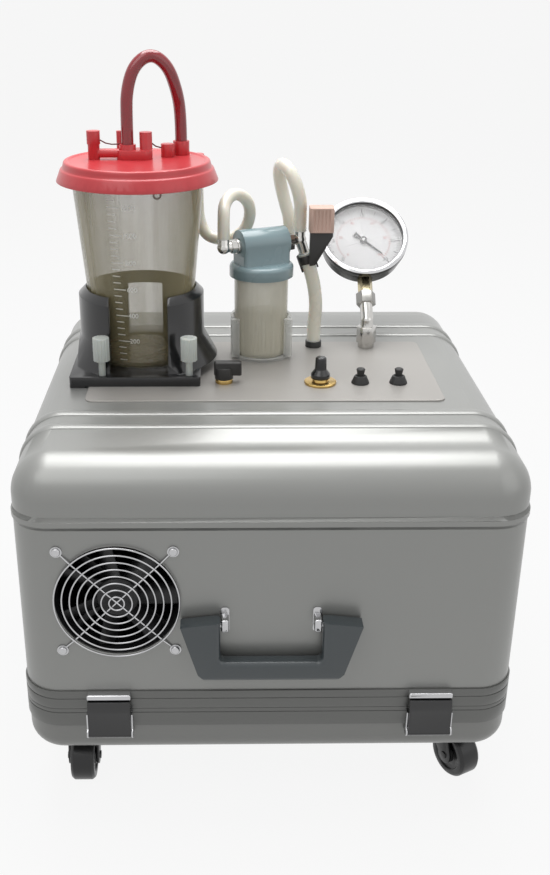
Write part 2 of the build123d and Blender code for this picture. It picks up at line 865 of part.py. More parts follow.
# Thumb screws that clamp the holder down: knurled heads on plain shanks
with BuildPart() as thumb_screws:
    for x, back in screw_spots:
        head_low = plate_high + screw_shank_height
        with BuildSketch(Plane.XY.offset(panel_z - panel_thick + seat)):
            with Locations((x, at_back(back))):
                Circle(screw_shank_radius)
        extrude(amount=head_low - panel_z + panel_thick)
        with BuildSketch(Plane.XY.offset(head_low)):
            with Locations((x, at_back(back))):
                Circle(screw_head_radius)
                with PolarLocations(screw_head_radius + 0.5, 14):
                    Circle(1.1, mode=Mode.SUBTRACT)
        extrude(amount=screw_head_height)
        with BuildSketch(Plane.XY.offset(head_low + screw_head_height - 3)):
            with Locations((x, at_back(back))):
                Rectangle(10, 2)
        extrude(amount=3, mode=Mode.SUBTRACT)
save(thumb_screws, "thumb_screws")

# Canister jar, a tapered cup
jar_top = jar_low + jar_height
with BuildPart() as canister_jar:
    add(
        revolve_profile(
            [
                (0, jar_low + 2),
                (jar_foot_radius - 8, jar_low + 2),
                (jar_foot_radius - 6, jar_low),
                (jar_foot_radius, jar_low),
                (jar_rim_radius, jar_top),
                (jar_rim_radius + 4, jar_top),
                (jar_rim_radius + 4, jar_top + 2),
                (jar_rim_radius - jar_wall, jar_top + 2),
                (jar_foot_radius - jar_wall, jar_low + 4.5),
                (0, jar_low + 4.5),
            ],
            canister_x,
            canister_y,
        )
    )
save(canister_jar, "canister_jar")

# Canister lid: flat disc, step and flared skirt over the rim
rim_z = jar_top + 2
with BuildPart() as canister_lid:
    add(
        revolve_profile(
            [
                (0, lid_top_z - lid_wall - 1),
                (jar_rim_radius - jar_wall - 1.2, lid_top_z - lid_wall - 1),
                (jar_rim_radius - jar_wall - 1.2, rim_z),
                (jar_rim_radius + 5, rim_z),
                (jar_rim_radius + 6, rim_z - 3),
                (lid_skirt - lid_wall, lid_base_z),
                (lid_skirt, lid_base_z),
                (lid_disc + 2.0, lid_top_z - 8),
                (lid_disc, lid_top_z - 7),
                (lid_disc - 1.5, lid_top_z - 1),
                (lid_disc - 3, lid_top_z),
                (lid_disc - 6, lid_top_z),
                (lid_disc - 7.5, lid_top_z - 1.2),
                (0, lid_top_z - 1.2),
            ],
            canister_x,
            canister_y,
        )
    )
save(canister_lid, "canister_lid")
lid_face = lid_top_z - 1.2

# Ports on the lid: centre cluster, capped elbow, right-hand stubs and the rear outlet elbow
red_start = (-140.0, at_back(280))
red_end = (-86.5, at_back(306))
outlet_spot = (-71.0, at_back(341))
outlet_low = 566.0
outlet_way = Vector(outlet_spot[0] - canister_x, outlet_spot[1] - canister_y, 0).normalized()
with BuildPart() as lid_ports:
    with BuildSketch(Plane.XY.offset(lid_face)):
        with Locations((-133, at_back(280))):
            RectangleRounded(36, 26, 10)
    extrude(amount=9)
    with BuildSketch(Plane.XY.offset(lid_face)):
        with Locations(red_start):
            Circle(8.5)
    extrude(amount=14)
    with BuildSketch(Plane.XY.offset(lid_face)):
        with Locations((-121.5, at_back(282))):
            Circle(6.5)
        with Locations((-148, at_back(290))):
            Circle(4)
    extrude(amount=26)
    with BuildSketch(Plane.XY.offset(lid_face)):
        with Locations((-100, at_back(292))):
            Circle(7)
    extrude(amount=13)
    with BuildSketch(Plane.XY.offset(lid_face)):
        with Locations(red_end):
            Circle(8.5)
    extrude(amount=14)
    with BuildSketch(Plane.XY.offset(lid_face)):
        with Locations((-174, at_back(276))):
            Circle(6)
    extrude(amount=15)
    with BuildSketch(Plane.XY.offset(lid_face + 15)):
        with Locations((-174, at_back(276))):
            Circle(6.8)
    extrude(amount=13)
    with BuildSketch(Plane(origin=(-174, at_back(276), lid_face + 6), z_dir=(1, 0, 0))):
        Circle(4.5)
    extrude(amount=26)
    with BuildSketch(Plane.XY.offset(outlet_low)):
        with Locations(outlet_spot):
            Circle(cream_od / 2 + 1)
    extrude(amount=lid_base_z + 14 - outlet_low)
    outlet_root = Vector(canister_x, canister_y, lid_base_z + 6) + outlet_way * 74
    with BuildSketch(Plane(origin=outlet_root, z_dir=outlet_way)):
        Circle(5)
    extrude(amount=16)
    add(
        revolve_profile(
            [
                (0, lid_base_z - 2),
                (lid_skirt + seat + 0.7, lid_base_z - 2),
                (lid_disc + 2 + seat, lid_top_z - 8 + 0.4),
                (lid_disc + 2 + seat, lid_face),
                (0, lid_face),
            ],
            canister_x,
            canister_y,
        ),
        mode=Mode.SUBTRACT,
    )
save(lid_ports, "lid_ports")

# Trap holder: clear foot, rear sleeve and two front posts
trap_y = at_back(trap_back)
trap_foot_top = panel_z + trap_foot
with BuildPart() as trap_holder:
    with BuildSketch(Plane.XY.offset(panel_z)):
        with Locations((trap_x, trap_y)):
            Circle(trap_sleeve + trap_sleeve_wall)
    extrude(amount=trap_foot)
    with BuildSketch(Plane.XY.offset(trap_foot_top)):
        with Locations((trap_x, trap_y)):
            Circle(trap_sleeve + trap_sleeve_wall)
            Circle(trap_sleeve, mode=Mode.SUBTRACT)
        with Locations((trap_x, trap_y - 40)):
            Rectangle(2 * trap_sleeve + 20, 56, mode=Mode.SUBTRACT)
        with Locations((trap_x - 28, trap_y - 18.5), (trap_x + 29, trap_y - 18.5)):
            RectangleRounded(9, 7, 1.5)
        with Locations((trap_x, trap_y)):
            Circle(trap_sleeve, mode=Mode.SUBTRACT)
    extrude(amount=trap_sleeve_height)
save(trap_holder, "trap_holder")

# Trap jar
with BuildPart() as trap_jar:
    add(
        revolve_profile(
            [
                (0, trap_foot_top),
                (trap_jar_radius - 2, trap_foot_top),
                (trap_jar_radius - 0.6, trap_foot_top + 1.5),
                (trap_jar_radius, trap_jar_top),
                (trap_jar_radius - 2, trap_jar_top),
                (trap_jar_radius - 2.6, trap_foot_top + 3),
                (0, trap_foot_top + 3),
            ],
            trap_x,
            trap_y,
        )
    )
save(trap_jar, "trap_jar")

# Trap cap: round skirt under a half-round bar that carries the two ports
cap_frame = Plane(origin=(trap_x, trap_y, 0)).rotated((0, 0, trap_turn))
cap_along = cap_frame.x_dir
cap_face = cap_bar_length / 2
with BuildPart() as trap_cap:
    with BuildSketch(cap_frame.offset(cap_base_z)):
        Circle(cap_radius)
    extrude(amount=cap_skirt)
    fillet(trap_cap.edges().group_by(Axis.Z)[-1], radius=5)
    with BuildSketch(cap_frame.offset(cap_base_z + cap_skirt - 6)):
        RectangleRounded(cap_bar_length, 2 * cap_bar_radius, 4)
    extrude(amount=cap_axis_z - cap_base_z - cap_skirt + 6)
    bar_end = Vector(trap_x, trap_y, cap_axis_z) - cap_along * cap_face
    with BuildSketch(Plane(origin=bar_end, z_dir=cap_along)):
        Circle(cap_bar_radius)
    extrude(amount=cap_bar_length)
    with BuildSketch(cap_frame.offset(cap_base_z)):
        Circle(trap_jar_radius + seat)
    extrude(amount=trap_jar_top - cap_base_z, mode=Mode.SUBTRACT)
save(trap_cap, "trap_cap")

# Chrome fittings on the trap cap and the hose port on the panel
tee_x = trap_x + tee_along * cos(radians(trap_turn))
tee_y = trap_y + tee_along * sin(radians(trap_turn))
elbow_x = trap_x - elbow_along * cos(radians(trap_turn))
elbow_y = trap_y - elbow_along * sin(radians(trap_turn))
lean_way = Vector(*vacuum_lean).normalized()
tee_centre = Vector(tee_x, tee_y, cap_axis_z)
lean_foot = tee_centre + lean_way * 16
port_spot = (port_x, at_back(port_back))
port_top = panel_z + 6.5
with BuildPart() as hose_fittings:
    for side, reach in ((-1, elbow_along), (1, tee_along)):
        way = cap_along * side
        face = Vector(trap_x, trap_y, cap_axis_z) + way * cap_face
        with BuildSketch(Plane(origin=face, z_dir=way)):
            Circle(8)
        extrude(amount=4)
        with BuildSketch(Plane(origin=face + way * 4, z_dir=way)):
            RegularPolygon(7.5, 6)
        extrude(amount=6)
        with BuildSketch(Plane(origin=face + way * 10, z_dir=way)):
            Circle(5.5)
        extrude(amount=reach - cap_face - 10)
        turn_spot = (face.X + way.X * (reach - cap_face), face.Y + way.Y * (reach - cap_face))
        with Locations((*turn_spot, cap_axis_z)):
            Sphere(7)
        with BuildSketch(Plane.XY.offset(cap_axis_z)):
            with Locations(turn_spot):
                Circle(6)
        extrude(amount=shoulder)
        with BuildSketch(Plane.XY.offset(cap_axis_z + shoulder)):
            with Locations(turn_spot):
                Circle(barb_radius)
        extrude(amount=barb_length)
    with BuildSketch(Plane(origin=tee_centre, z_dir=lean_way)):
        Circle(6)
    extrude(amount=16)
    with BuildSketch(Plane(origin=lean_foot, z_dir=lean_way)):
        Circle(barb_radius)
    extrude(amount=barb_length)
    with BuildSketch(Plane.XY.offset(panel_z)):
        with Locations(port_spot):
            Circle(9)
    extrude(amount=port_top - panel_z)
    with BuildSketch(Plane.XY.offset(port_top)):
        with Locations(port_spot):
            Circle(barb_radius)
    extrude(amount=barb_length)
save(hose_fittings, "hose_fittings")

# Dark barbed elbow behind the cap, foot of the upper loop
rear_barb = (31.0, at_back(343), cap_axis_z - 5)
with BuildPart() as cap_elbow:
    with BuildSketch(Plane.XY.offset(cap_axis_z - 18)):
        with Locations(rear_barb[:2]):
            Circle(6)
    extrude(amount=13)
    with BuildSketch(Plane.XY.offset(rear_barb[2])):
        with Locations(rear_barb[:2]):
            Circle(barb_radius)
    extrude(amount=barb_length)
    arm_foot = Vector(trap_x + 8, trap_y + 20, cap_axis_z - 12)
    arm_way = Vector(rear_barb[0], rear_barb[1], cap_axis_z - 12) - arm_foot
    with BuildSketch(Plane(origin=arm_foot, z_dir=arm_way.normalized())):
        Circle(4.5)
    extrude(amount=arm_way.length)
    with BuildSketch(cap_frame.offset(cap_base_z - 1)):
        Rectangle(cap_bar_length + 2 * seat, 2 * cap_bar_radius + 2 * seat)
        Circle(cap_radius + seat)
    extrude(amount=60, mode=Mode.SUBTRACT)
save(cap_elbow, "cap_elbow")

# Hoses, each along hand-chosen points
tandem_route = [
    (red_start[0], red_start[1], lid_face + 14),
    (red_start[0], red_start[1], 638),
    (-139, at_back(279), 664),
    (-131, at_back(281), 688),
    (-114, at_back(285), 699),
    (-98, at_back(290), 687),
    (-90, at_back(296), 664),
    (red_end[0], red_end[1], 640),
    (red_end[0], red_end[1], lid_face + 14),
]
tube_solid("tandem_tube", tandem_route, red_od, tube_bore)

suction_route = [
    (outlet_spot[0], outlet_spot[1], outlet_low),
    (outlet_spot[0], outlet_spot[1], 545),
    (-70, at_back(338), 524),
    (-63, at_back(334), 507),
    (-48, at_back(331), 502),
    (-31, at_back(330), 504),
    (-18, at_back(328), 515),
    (-13, at_back(325), 532),
    (-17, at_back(318), 549),
    (-31, at_back(304), 559),
    (-42, at_back(290), 551),
    (elbow_x, elbow_y, 537),
    (elbow_x, elbow_y, cap_axis_z + shoulder),
]
tube_solid("suction_tube", suction_route, cream_od, tube_bore)

loop_route = [
    rear_barb,
    (rear_barb[0], rear_barb[1], 521),
    (25, at_back(346), 540),
    (20, at_back(346), 559),
    (17, at_back(340), 576),
    (20, at_back(326), 586),
    (27, at_back(312.5), 581),
    (34.5, at_back(306.5), 567),
    (39.5, at_back(307), 549),
    (tee_x, tee_y, 533),
    (tee_x, tee_y, cap_axis_z + shoulder),
]
tube_solid("loop_tube", loop_route, loop_od, tube_bore)

vacuum_route = [
    (port_x, at_back(port_back), port_top),
    (port_x, at_back(port_back), 410),
    (60.5, at_back(316), 432),
    (57.5, at_back(315.3), 454),
    tuple(lean_foot + lean_way * 20),
    tuple(lean_foot),
]
tube_solid("vacuum_tube", vacuum_route, vacuum_od, tube_bore)

# Inline filter block beside the tee
filter_y = at_back(298)
filter_z = 519.0
with BuildPart() as inline_filter:
    with BuildSketch(Plane.XY.offset(filter_z)):
        with Locations((61.5, filter_y)):
            RectangleRounded(26, 20, 3)
    extrude(amount=26)
    with BuildSketch(Plane.XY.offset(filter_z + 2)):
        with Locations((61.5, filter_y - 10)):
            with GridLocations(4, 1, 5, 1):
                Rectangle(1.6, 1.6)
    extrude(amount=22, mode=Mode.SUBTRACT)
save(inline_filter, "inline_filter")

# Dark clamp round the hose end, with two prongs and the arm under the filter
clamp_centre = lean_foot + lean_way * 2
clamp_plane = Plane(origin=clamp_centre, x_dir=(0, 1, 0), z_dir=lean_way)
with BuildPart() as filter_clamp:
    with BuildSketch(clamp_plane):
        Circle(vacuum_od / 2 + 2.4)
        Circle(vacuum_od / 2 + apart, mode=Mode.SUBTRACT)
    extrude(amount=9)
    with BuildSketch(clamp_plane.offset(8)):
        with Locations((0, -vacuum_od / 2 - 1.2), (0, vacuum_od / 2 + 1.2)):
            Rectangle(5, 2)
    extrude(amount=10)
    with BuildSketch(Plane(origin=(0, filter_y - 5, 0), x_dir=(1, 0, 0), z_dir=(0, -1, 0))):
        with BuildLine():
            Polyline((50, 482), (56, 483), (74, 514), (74, filter_z), (50, filter_z), close=True)
        make_face()
    extrude(amount=-13)
    with BuildSketch(clamp_plane.offset(-30)):
        Circle(vacuum_od / 2 + apart)
    extrude(amount=80, mode=Mode.SUBTRACT)
save(filter_clamp, "filter_clamp")

# Vacuum gauge: pressed case, dial with a spindle, needle, lens and chrome bezel
gauge_y = at_back(gauge_foot_back) + (gauge_arm - gauge_socket) * cos(radians(gauge_lean))
gauge_z = gauge_elbow_z + (gauge_arm + gauge_socket) * sin(radians(gauge_lean))
gauge_out = Vector(0, -sin(radians(gauge_lean)), cos(radians(gauge_lean)))
gauge_up = Vector(0, cos(radians(gauge_lean)), sin(radians(gauge_lean)))
gauge_frame = Plane(origin=(gauge_x, gauge_y, gauge_z), x_dir=(1, 0, 0), z_dir=gauge_out)
gauge_axis = Axis(gauge_frame.origin, gauge_out)
case_radius = gauge_radius - 3
with BuildPart() as gauge_case:
    with BuildSketch(gauge_frame.offset(-gauge_depth + 4)):
        Circle(case_radius)
    extrude(amount=gauge_depth - 2)
    fillet(gauge_case.edges().filter_by(GeomType.CIRCLE).sort_by(gauge_axis)[0], radius=3)
    with BuildSketch(gauge_frame.offset(-8)):
        Circle(gauge_face_radius + 0.5)
    extrude(amount=12, mode=Mode.SUBTRACT)
    with BuildSketch(gauge_frame.offset(-gauge_depth + 6)):
        Circle(gauge_face_radius - 1.5)
    extrude(amount=20, mode=Mode.SUBTRACT)
save(gauge_case, "gauge_case")

with BuildPart() as gauge_dial:
    with BuildSketch(gauge_frame.offset(-8)):
        Circle(gauge_face_radius + 0.4)
    extrude(amount=1)
    with BuildSketch(gauge_frame.offset(-7)):
        Circle(1.6)
    extrude(amount=4)
save(gauge_dial, "gauge_dial")

needle_cos = cos(radians(needle_rest))
needle_sin = sin(radians(needle_rest))
needle_outline = [
    (u * needle_cos - v * needle_sin, u * needle_sin + v * needle_cos)
    for u, v in (
        (-needle_tail, -needle_tail_half),
        (-4, -1.4),
        (needle_length, -0.5),
        (needle_length, 0.5),
        (-4, 1.4),
        (-needle_tail, needle_tail_half),
    )
]
with BuildPart() as gauge_needle:
    with BuildSketch(gauge_frame.offset(-6)):
        with BuildLine():
            Polyline(*needle_outline, close=True)
        make_face()
    extrude(amount=0.8)
    with BuildSketch(gauge_frame.offset(-6.2)):
        Circle(4)
    extrude(amount=2.6)
    with BuildSketch(gauge_frame.offset(-7)):
        Circle(1.6 + running)
    extrude(amount=5, mode=Mode.SUBTRACT)
save(gauge_needle, "gauge_needle")

with BuildPart() as gauge_lens:
    with BuildSketch(gauge_frame):
        Circle(gauge_face_radius + 0.4)
    extrude(amount=2)
save(gauge_lens, "gauge_lens")

with BuildPart() as gauge_bezel:
    with BuildSketch(gauge_frame.offset(-3)):
        Circle(gauge_radius)
        Circle(case_radius + seat, mode=Mode.SUBTRACT)
    extrude(amount=8)
    with BuildSketch(gauge_frame.offset(2)):
        Circle(gauge_radius)
        Circle(gauge_face_radius - 1, mode=Mode.SUBTRACT)
    extrude(amount=3)
    fillet(gauge_bezel.edges().filter_by(GeomType.CIRCLE).sort_by(gauge_axis)[-1], radius=2)
save(gauge_bezel, "gauge_bezel")

# Gauge stem: base, hex nut, elbow, inclined pipe with a nut and a brass hexagon
gauge_foot = (gauge_x, at_back(gauge_foot_back))
stem_elbow = Vector(gauge_x, at_back(gauge_foot_back), gauge_elbow_z)
with BuildPart() as gauge_stem:
    with BuildSketch(Plane.XY.offset(panel_z)):
        with Locations(gauge_foot):
            Circle(9)
    extrude(amount=6)
    with BuildSketch(Plane.XY.offset(panel_z + 5.5)):
        with Locations(gauge_foot):
            RegularPolygon(11, 6)
    extrude(amount=19)
    with BuildSketch(Plane.XY.offset(panel_z + 24)):
        with Locations(gauge_foot):
            Circle(7)
    extrude(amount=gauge_elbow_z - panel_z - 24)
    with Locations(tuple(stem_elbow)):
        Sphere(7)
    with BuildSketch(Plane(origin=stem_elbow, x_dir=(1, 0, 0), z_dir=gauge_up)):
        Circle(7)
    extrude(amount=20)
    with BuildSketch(Plane(origin=stem_elbow + gauge_up * 19, x_dir=(1, 0, 0), z_dir=gauge_up)):
        RegularPolygon(11, 6)
    extrude(amount=14)
    with BuildSketch(Plane(origin=stem_elbow + gauge_up * 33, x_dir=(1, 0, 0), z_dir=gauge_up)):
        RegularPolygon(8.4, 6)
    extrude(amount=gauge_arm - case_radius - 33 + 3)
    with BuildSketch(gauge_frame.offset(-gauge_depth)):
        Circle(case_radius + seat)
    extrude(amount=gauge_depth + 10, mode=Mode.SUBTRACT)
save(gauge_stem, "gauge_stem")

# Suction valve: brass bush with a spindle and a flag lever
spindle = 3.0
with BuildPart() as valve_body:
    with BuildSketch(Plane.XY.offset(panel_z)):
        with Locations(valve_spot):
            Circle(9)
    extrude(amount=4.5)
    with BuildSketch(Plane.XY.offset(panel_z + 4.5)):
        with Locations(valve_spot):
            Circle(spindle)
    extrude(amount=14)
save(valve_body, "valve_body")

lever_low = panel_z + 4.5 + apart
with BuildPart() as valve_lever:
    with BuildSketch(Plane.XY.offset(lever_low)):
        with Locations(valve_spot):
            Circle(9.5)
    extrude(amount=12)
    with BuildSketch(Plane.XY.offset(lever_low + 4)):
        with Locations((valve_x + 3.9, valve_spot[1])):
            RectangleRounded(28.5, 10, 3)
    extrude(amount=14)
    fillet(valve_lever.edges().group_by(Axis.Z)[-1], radius=2)
    with BuildSketch(Plane.XY.offset(lever_low)):
        with Locations(valve_spot):
            Circle(spindle + running)
    extrude(amount=14.5, mode=Mode.SUBTRACT)
save(valve_lever, "valve_lever")

# Vacuum regulator: washer, nut and spindle under a stepped knob
with BuildPart() as regulator_bush:
    for low, radius, rise in ((0, 16.5, 2.5), (2.5, 8, 3.0), (5.5, spindle, 17)):
        with BuildSketch(Plane.XY.offset(panel_z + low)):
            with Locations(regulator_spot):
                Circle(radius)
        extrude(amount=rise)
save(regulator_bush, "regulator_bush")

knob_low = panel_z + 5.5 + apart
with BuildPart() as regulator_knob:
    add(
        revolve_profile(
            [
                (spindle + running, knob_low),
                (9.8, knob_low),
                (9.8, knob_low + 4.5),
                (6.2, knob_low + 9.5),
                (5.6, knob_low + 21.5),
                (4.6, knob_low + 22.5),
                (0, knob_low + 22.5),
                (0, knob_low + 17.5),
                (spindle + running, knob_low + 17.5),
            ],
            regulator_spot[0],
            regulator_spot[1],
        )
    )
save(regulator_knob, "regulator_knob")

# Two rubber-booted toggle switches
pivot_z = panel_z + toggle_pivot
with BuildPart() as toggle_bases:
    for spot in toggle_spots:
        add(
            revolve_profile(
                [
                    (0, panel_z),
                    (9.2, panel_z),
                    (9.2, panel_z + 1),
                    (6.2, panel_z + 8),
                    (0, panel_z + 8),
                ],
                spot[0],
                spot[1],
            )
        )
    with Locations([(spot[0], spot[1], pivot_z) for spot in toggle_spots]):
        Sphere(toggle_ball + seat, mode=Mode.SUBTRACT)
    with BuildSketch(Plane.XY.offset(pivot_z)):
        with Locations(*toggle_spots):
            Circle(toggle_ball - 0.1)
    extrude(amount=5, mode=Mode.SUBTRACT)
save(toggle_bases, "toggle_bases")

for spot, name in zip(toggle_spots, ("toggle_left", "toggle_right")):
    with BuildPart() as toggle:
        add(
            revolve_profile(
                [
                    (0, pivot_z),
                    (3.4, pivot_z),
                    (3.4, pivot_z + 4),
                    (4.6, pivot_z + 10),
                    (3.4, pivot_z + 11),
                    (0, pivot_z + 11),
                ],
                spot[0],
                spot[1],
            )
        )
        with Locations((spot[0], spot[1], pivot_z)):
            Sphere(toggle_ball)
    save(toggle, name)

# Chassis plate across the upper half, with an upturned flange
with BuildPart() as chassis_plate:
    with BuildSketch(Plane.XY.offset(chassis_z)):
        case_outline(-shell_wall - seat)
    extrude(amount=chassis_thick + chassis_flange)
    with BuildSketch(Plane.XY.offset(chassis_z + chassis_thick)):
        case_outline(-shell_wall - seat - chassis_thick)
    extrude(amount=chassis_flange, mode=Mode.SUBTRACT)
save(chassis_plate, "chassis_plate")

# Vacuum pump on four rubber mounts
pump_y = at_back(pump_back)
mount_low = chassis_z + chassis_thick
pump_low = mount_low + mount_height
with BuildPart() as pump_mounts:
    with BuildSketch(Plane.XY.offset(mount_low)):
        with Locations((pump_x, pump_y)):
            with GridLocations(mount_span_x, mount_span_y, 2, 2):
                Circle(mount_radius)
    extrude(amount=mount_height)
save(pump_mounts, "pump_mounts")

with BuildPart() as vacuum_pump:
    with BuildSketch(Plane.XY.offset(pump_low)):
        with Locations((pump_x, pump_y)):
            RectangleRounded(mount_span_x + 28, mount_span_y + 28, 8)
    extrude(amount=4)
    motor_z = pump_low + 2.5 + pump_motor_radius
    with BuildSketch(Plane(origin=(pump_x - pump_motor_length / 2, pump_y, motor_z), z_dir=(1, 0, 0))):
        Circle(pump_motor_radius)
    extrude(amount=pump_motor_length)
    for side in (-1, 1):
        block_x = pump_x + side * (pump_motor_length / 2 + 15)
        with BuildSketch(Plane.XY.offset(pump_low + 4)):
            with Locations((block_x, pump_y)):
                RectangleRounded(34, pump_block_depth, 6)
        extrude(amount=pump_block)
save(vacuum_pump, "vacuum_pump")

# Mains inlet: flanged body with a recess and three pins
with BuildPart() as power_inlet:
    with BuildSketch(inlet_plane):
        RectangleRounded(38, 34, 4)
    extrude(amount=2.5)
    with BuildSketch(inlet_plane):
        RectangleRounded(30 - 2 * seat, 26 - 2 * seat, 3)
    extrude(amount=-24)
    with BuildSketch(inlet_plane.offset(2.5)):
        RectangleRounded(25, 17, 3)
    extrude(amount=-18, mode=Mode.SUBTRACT)
    with BuildSketch(inlet_plane.offset(-16)):
        with Locations((-7, -2.5), (0, 3), (7, -2.5)):
            Rectangle(2, 4.5)
    extrude(amount=15)
save(power_inlet, "power_inlet")
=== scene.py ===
"""Looks of a wheeled vacuum aspirator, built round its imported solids.

The case is silver-painted metal with a wire-guarded fan, a moulded handle and two black latches. On its
top stand a red-lidded collection jar in a black holder, a clear overflow trap with a blue-grey cap,
milky hoses, a tilted vacuum gauge and a row of small controls.
"""

import json
import logging
import math
from dataclasses import dataclass
from enum import Enum
from typing import Callable, Mapping, Sequence, Union

import bmesh
import bpy
from mathutils import Matrix, Vector

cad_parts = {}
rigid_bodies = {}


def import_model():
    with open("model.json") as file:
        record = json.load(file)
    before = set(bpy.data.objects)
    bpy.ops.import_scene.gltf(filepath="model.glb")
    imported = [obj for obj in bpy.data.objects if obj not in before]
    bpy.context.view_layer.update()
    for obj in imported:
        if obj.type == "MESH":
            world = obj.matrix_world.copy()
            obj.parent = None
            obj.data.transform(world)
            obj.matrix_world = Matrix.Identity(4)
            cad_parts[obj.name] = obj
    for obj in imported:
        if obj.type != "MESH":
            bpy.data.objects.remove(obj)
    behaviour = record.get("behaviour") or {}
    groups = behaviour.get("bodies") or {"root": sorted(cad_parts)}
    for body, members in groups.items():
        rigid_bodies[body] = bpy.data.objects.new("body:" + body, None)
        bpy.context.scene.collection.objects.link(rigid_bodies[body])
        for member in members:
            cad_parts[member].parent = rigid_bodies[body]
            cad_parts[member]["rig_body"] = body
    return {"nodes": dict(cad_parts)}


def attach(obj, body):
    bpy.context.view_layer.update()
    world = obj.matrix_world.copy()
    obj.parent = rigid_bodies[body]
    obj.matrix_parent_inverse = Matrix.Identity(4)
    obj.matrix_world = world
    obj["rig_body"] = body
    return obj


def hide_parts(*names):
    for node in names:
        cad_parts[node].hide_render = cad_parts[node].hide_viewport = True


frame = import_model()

LOG = logging.getLogger("aspirator")
MM = 0.001
Point = tuple[float, float, float]
Colour = tuple[float, float, float]
BMesh = bmesh.types.BMesh
Mesh = bpy.types.Mesh
Object = bpy.types.Object

# Shared places of the case, in millimetres
FRONT = -237.9
BACK = 246.1
PANEL_TOP = 383.5


def back(distance: float) -> float:
    """Y in millimetres of a place this far behind the front wall."""
    return FRONT + distance


def metres(point: Sequence[float]) -> Vector:
    """A point given in millimetres, in metres."""
    return Vector((point[0] * MM, point[1] * MM, point[2] * MM))


# Gauge, leaning back by 45 degrees: foot, arm and the distances of its turn and dial along its own axes
LEAN_BACK = math.radians(45.0)
GAUGE_X = 118.0
GAUGE_BACK = 314.0
STEM_Z = 415.0
GAUGE_ARM = 99.0
GAUGE_SOCKET = 12.5
GAUGE_UP = (0.0, math.cos(LEAN_BACK), math.sin(LEAN_BACK))
GAUGE_OUT = (0.0, -math.sin(LEAN_BACK), math.cos(LEAN_BACK))
DIAL_Y = back(GAUGE_BACK) + (GAUGE_ARM - GAUGE_SOCKET) * math.cos(LEAN_BACK)
DIAL_Z = STEM_Z + (GAUGE_ARM + GAUGE_SOCKET) * math.sin(LEAN_BACK)
STEM_TURN = back(GAUGE_BACK) * GAUGE_UP[1] + STEM_Z * GAUGE_UP[2]
DIAL_PLANE = DIAL_Y * GAUGE_OUT[1] + DIAL_Z * GAUGE_OUT[2]


# Shader tools


class Sock:
    """A shader socket that takes part in plain arithmetic."""

    def __init__(self, tree: bpy.types.NodeTree, socket: bpy.types.NodeSocket) -> None:
        """Wrap one output socket of a tree."""
        self.tree = tree
        self.socket = socket

    def _math(self, operation: str, first: "Value", second: "Value") -> "Sock":
        """The result of one new Math node on two numbers or sockets."""
        node = self.tree.nodes.new("ShaderNodeMath")
        node.operation = operation
        for socket, value in zip(node.inputs, (first, second)):
            if isinstance(value, Sock):
                self.tree.links.new(value.socket, socket)
            else:
                socket.default_value = value
        return Sock(self.tree, node.outputs[0])

    def __add__(self, other: "Value") -> "Sock":
        """Sum."""
        return self._math("ADD", self, other)

    def __radd__(self, other: "Value") -> "Sock":
        """Sum, reflected."""
        return self._math("ADD", other, self)

    def __sub__(self, other: "Value") -> "Sock":
        """Difference."""
        return self._math("SUBTRACT", self, other)

    def __rsub__(self, other: "Value") -> "Sock":
        """Difference, reflected."""
        return self._math("SUBTRACT", other, self)

    def __mul__(self, other: "Value") -> "Sock":
        """Product."""
        return self._math("MULTIPLY", self, other)

    def __gt__(self, other: "Value") -> "Sock":
        """One where this socket is greater, else nought."""
        return self._math("GREATER_THAN", self, other)


Value = Union[float, Sock]


class Shader:
    """One node-built material."""

    def __init__(self, name: str) -> None:
        """Start a named material with a Principled shader."""
        self.material = bpy.data.materials.new(name)
        self.material.use_nodes = True
        self.tree = self.material.node_tree
        self.surface = self.tree.nodes["Principled BSDF"]

    def node(
        self,
        kind: str,
        settings: Mapping[str, object] | None = None,
        inputs: Mapping[Union[str, int], object] | None = None,
        out: Union[str, int] = 0,
    ) -> Sock:
        """Add one node of any kind.

        Args:
            kind: Blender's name for the node type.
            settings: Properties of the node, set first.
            inputs: Values or sockets by input name or number.
            out: Which output to hand back.

        Returns:
            The chosen output.
        """
        node = self.tree.nodes.new(kind)
        for key, value in (settings or {}).items():
            setattr(node, key, value)
        for key, value in (inputs or {}).items():
            self.feed(node.inputs[key], value)
        return Sock(self.tree, node.outputs[out])

    def feed(self, socket: bpy.types.NodeSocket, value: object) -> None:
        """Set one input to a number or tuple, or link a Sock to it."""
        if isinstance(value, Sock):
            self.tree.links.new(value.socket, socket)
        else:
            socket.default_value = value

    def set(self, **values: object) -> None:
        """Feed inputs of the Principled shader, with underscores for the spaces in their names."""
        for key, value in values.items():
            self.feed(self.surface.inputs[key.replace("_", " ")], value)

    def blend(self, share: Value, first: object, second: object) -> Sock:
        """Mix two colours.

        Args:
            share: Part of the second colour.
            first: Colour tuple or Sock.
            second: Colour tuple or Sock.

        Returns:
            The mixed colour.
        """
        node = self.tree.nodes.new("ShaderNodeMix")
        node.data_type = "RGBA"
        self.feed(node.inputs["Factor"], share)
        self.feed(node.inputs["A"], first)
        self.feed(node.inputs["B"], second)
        return Sock(self.tree, node.outputs["Result"])


class Grain(Enum):
    """How a finish varies over its surface."""

    PAINT = "sprayed metallic paint"
    BRUSHED = "fine lines along X"
    MOULDED = "fine even texture"
    CLEAR = "see-through plastic"


def tint(colour: Colour, factor: float) -> tuple[float, float, float, float]:
    """A colour made lighter or darker, with full alpha."""
    return (*(min(1.0, c * factor) for c in colour), 1.0)


@dataclass(frozen=True)
class Zone:
    """A stretch of a piece, cut off square to a direction, that has a colour of its own."""

    way: Point
    start: float
    stop: float
    colour: Colour
    metallic: float = 0.0
    rough: float = 0.4


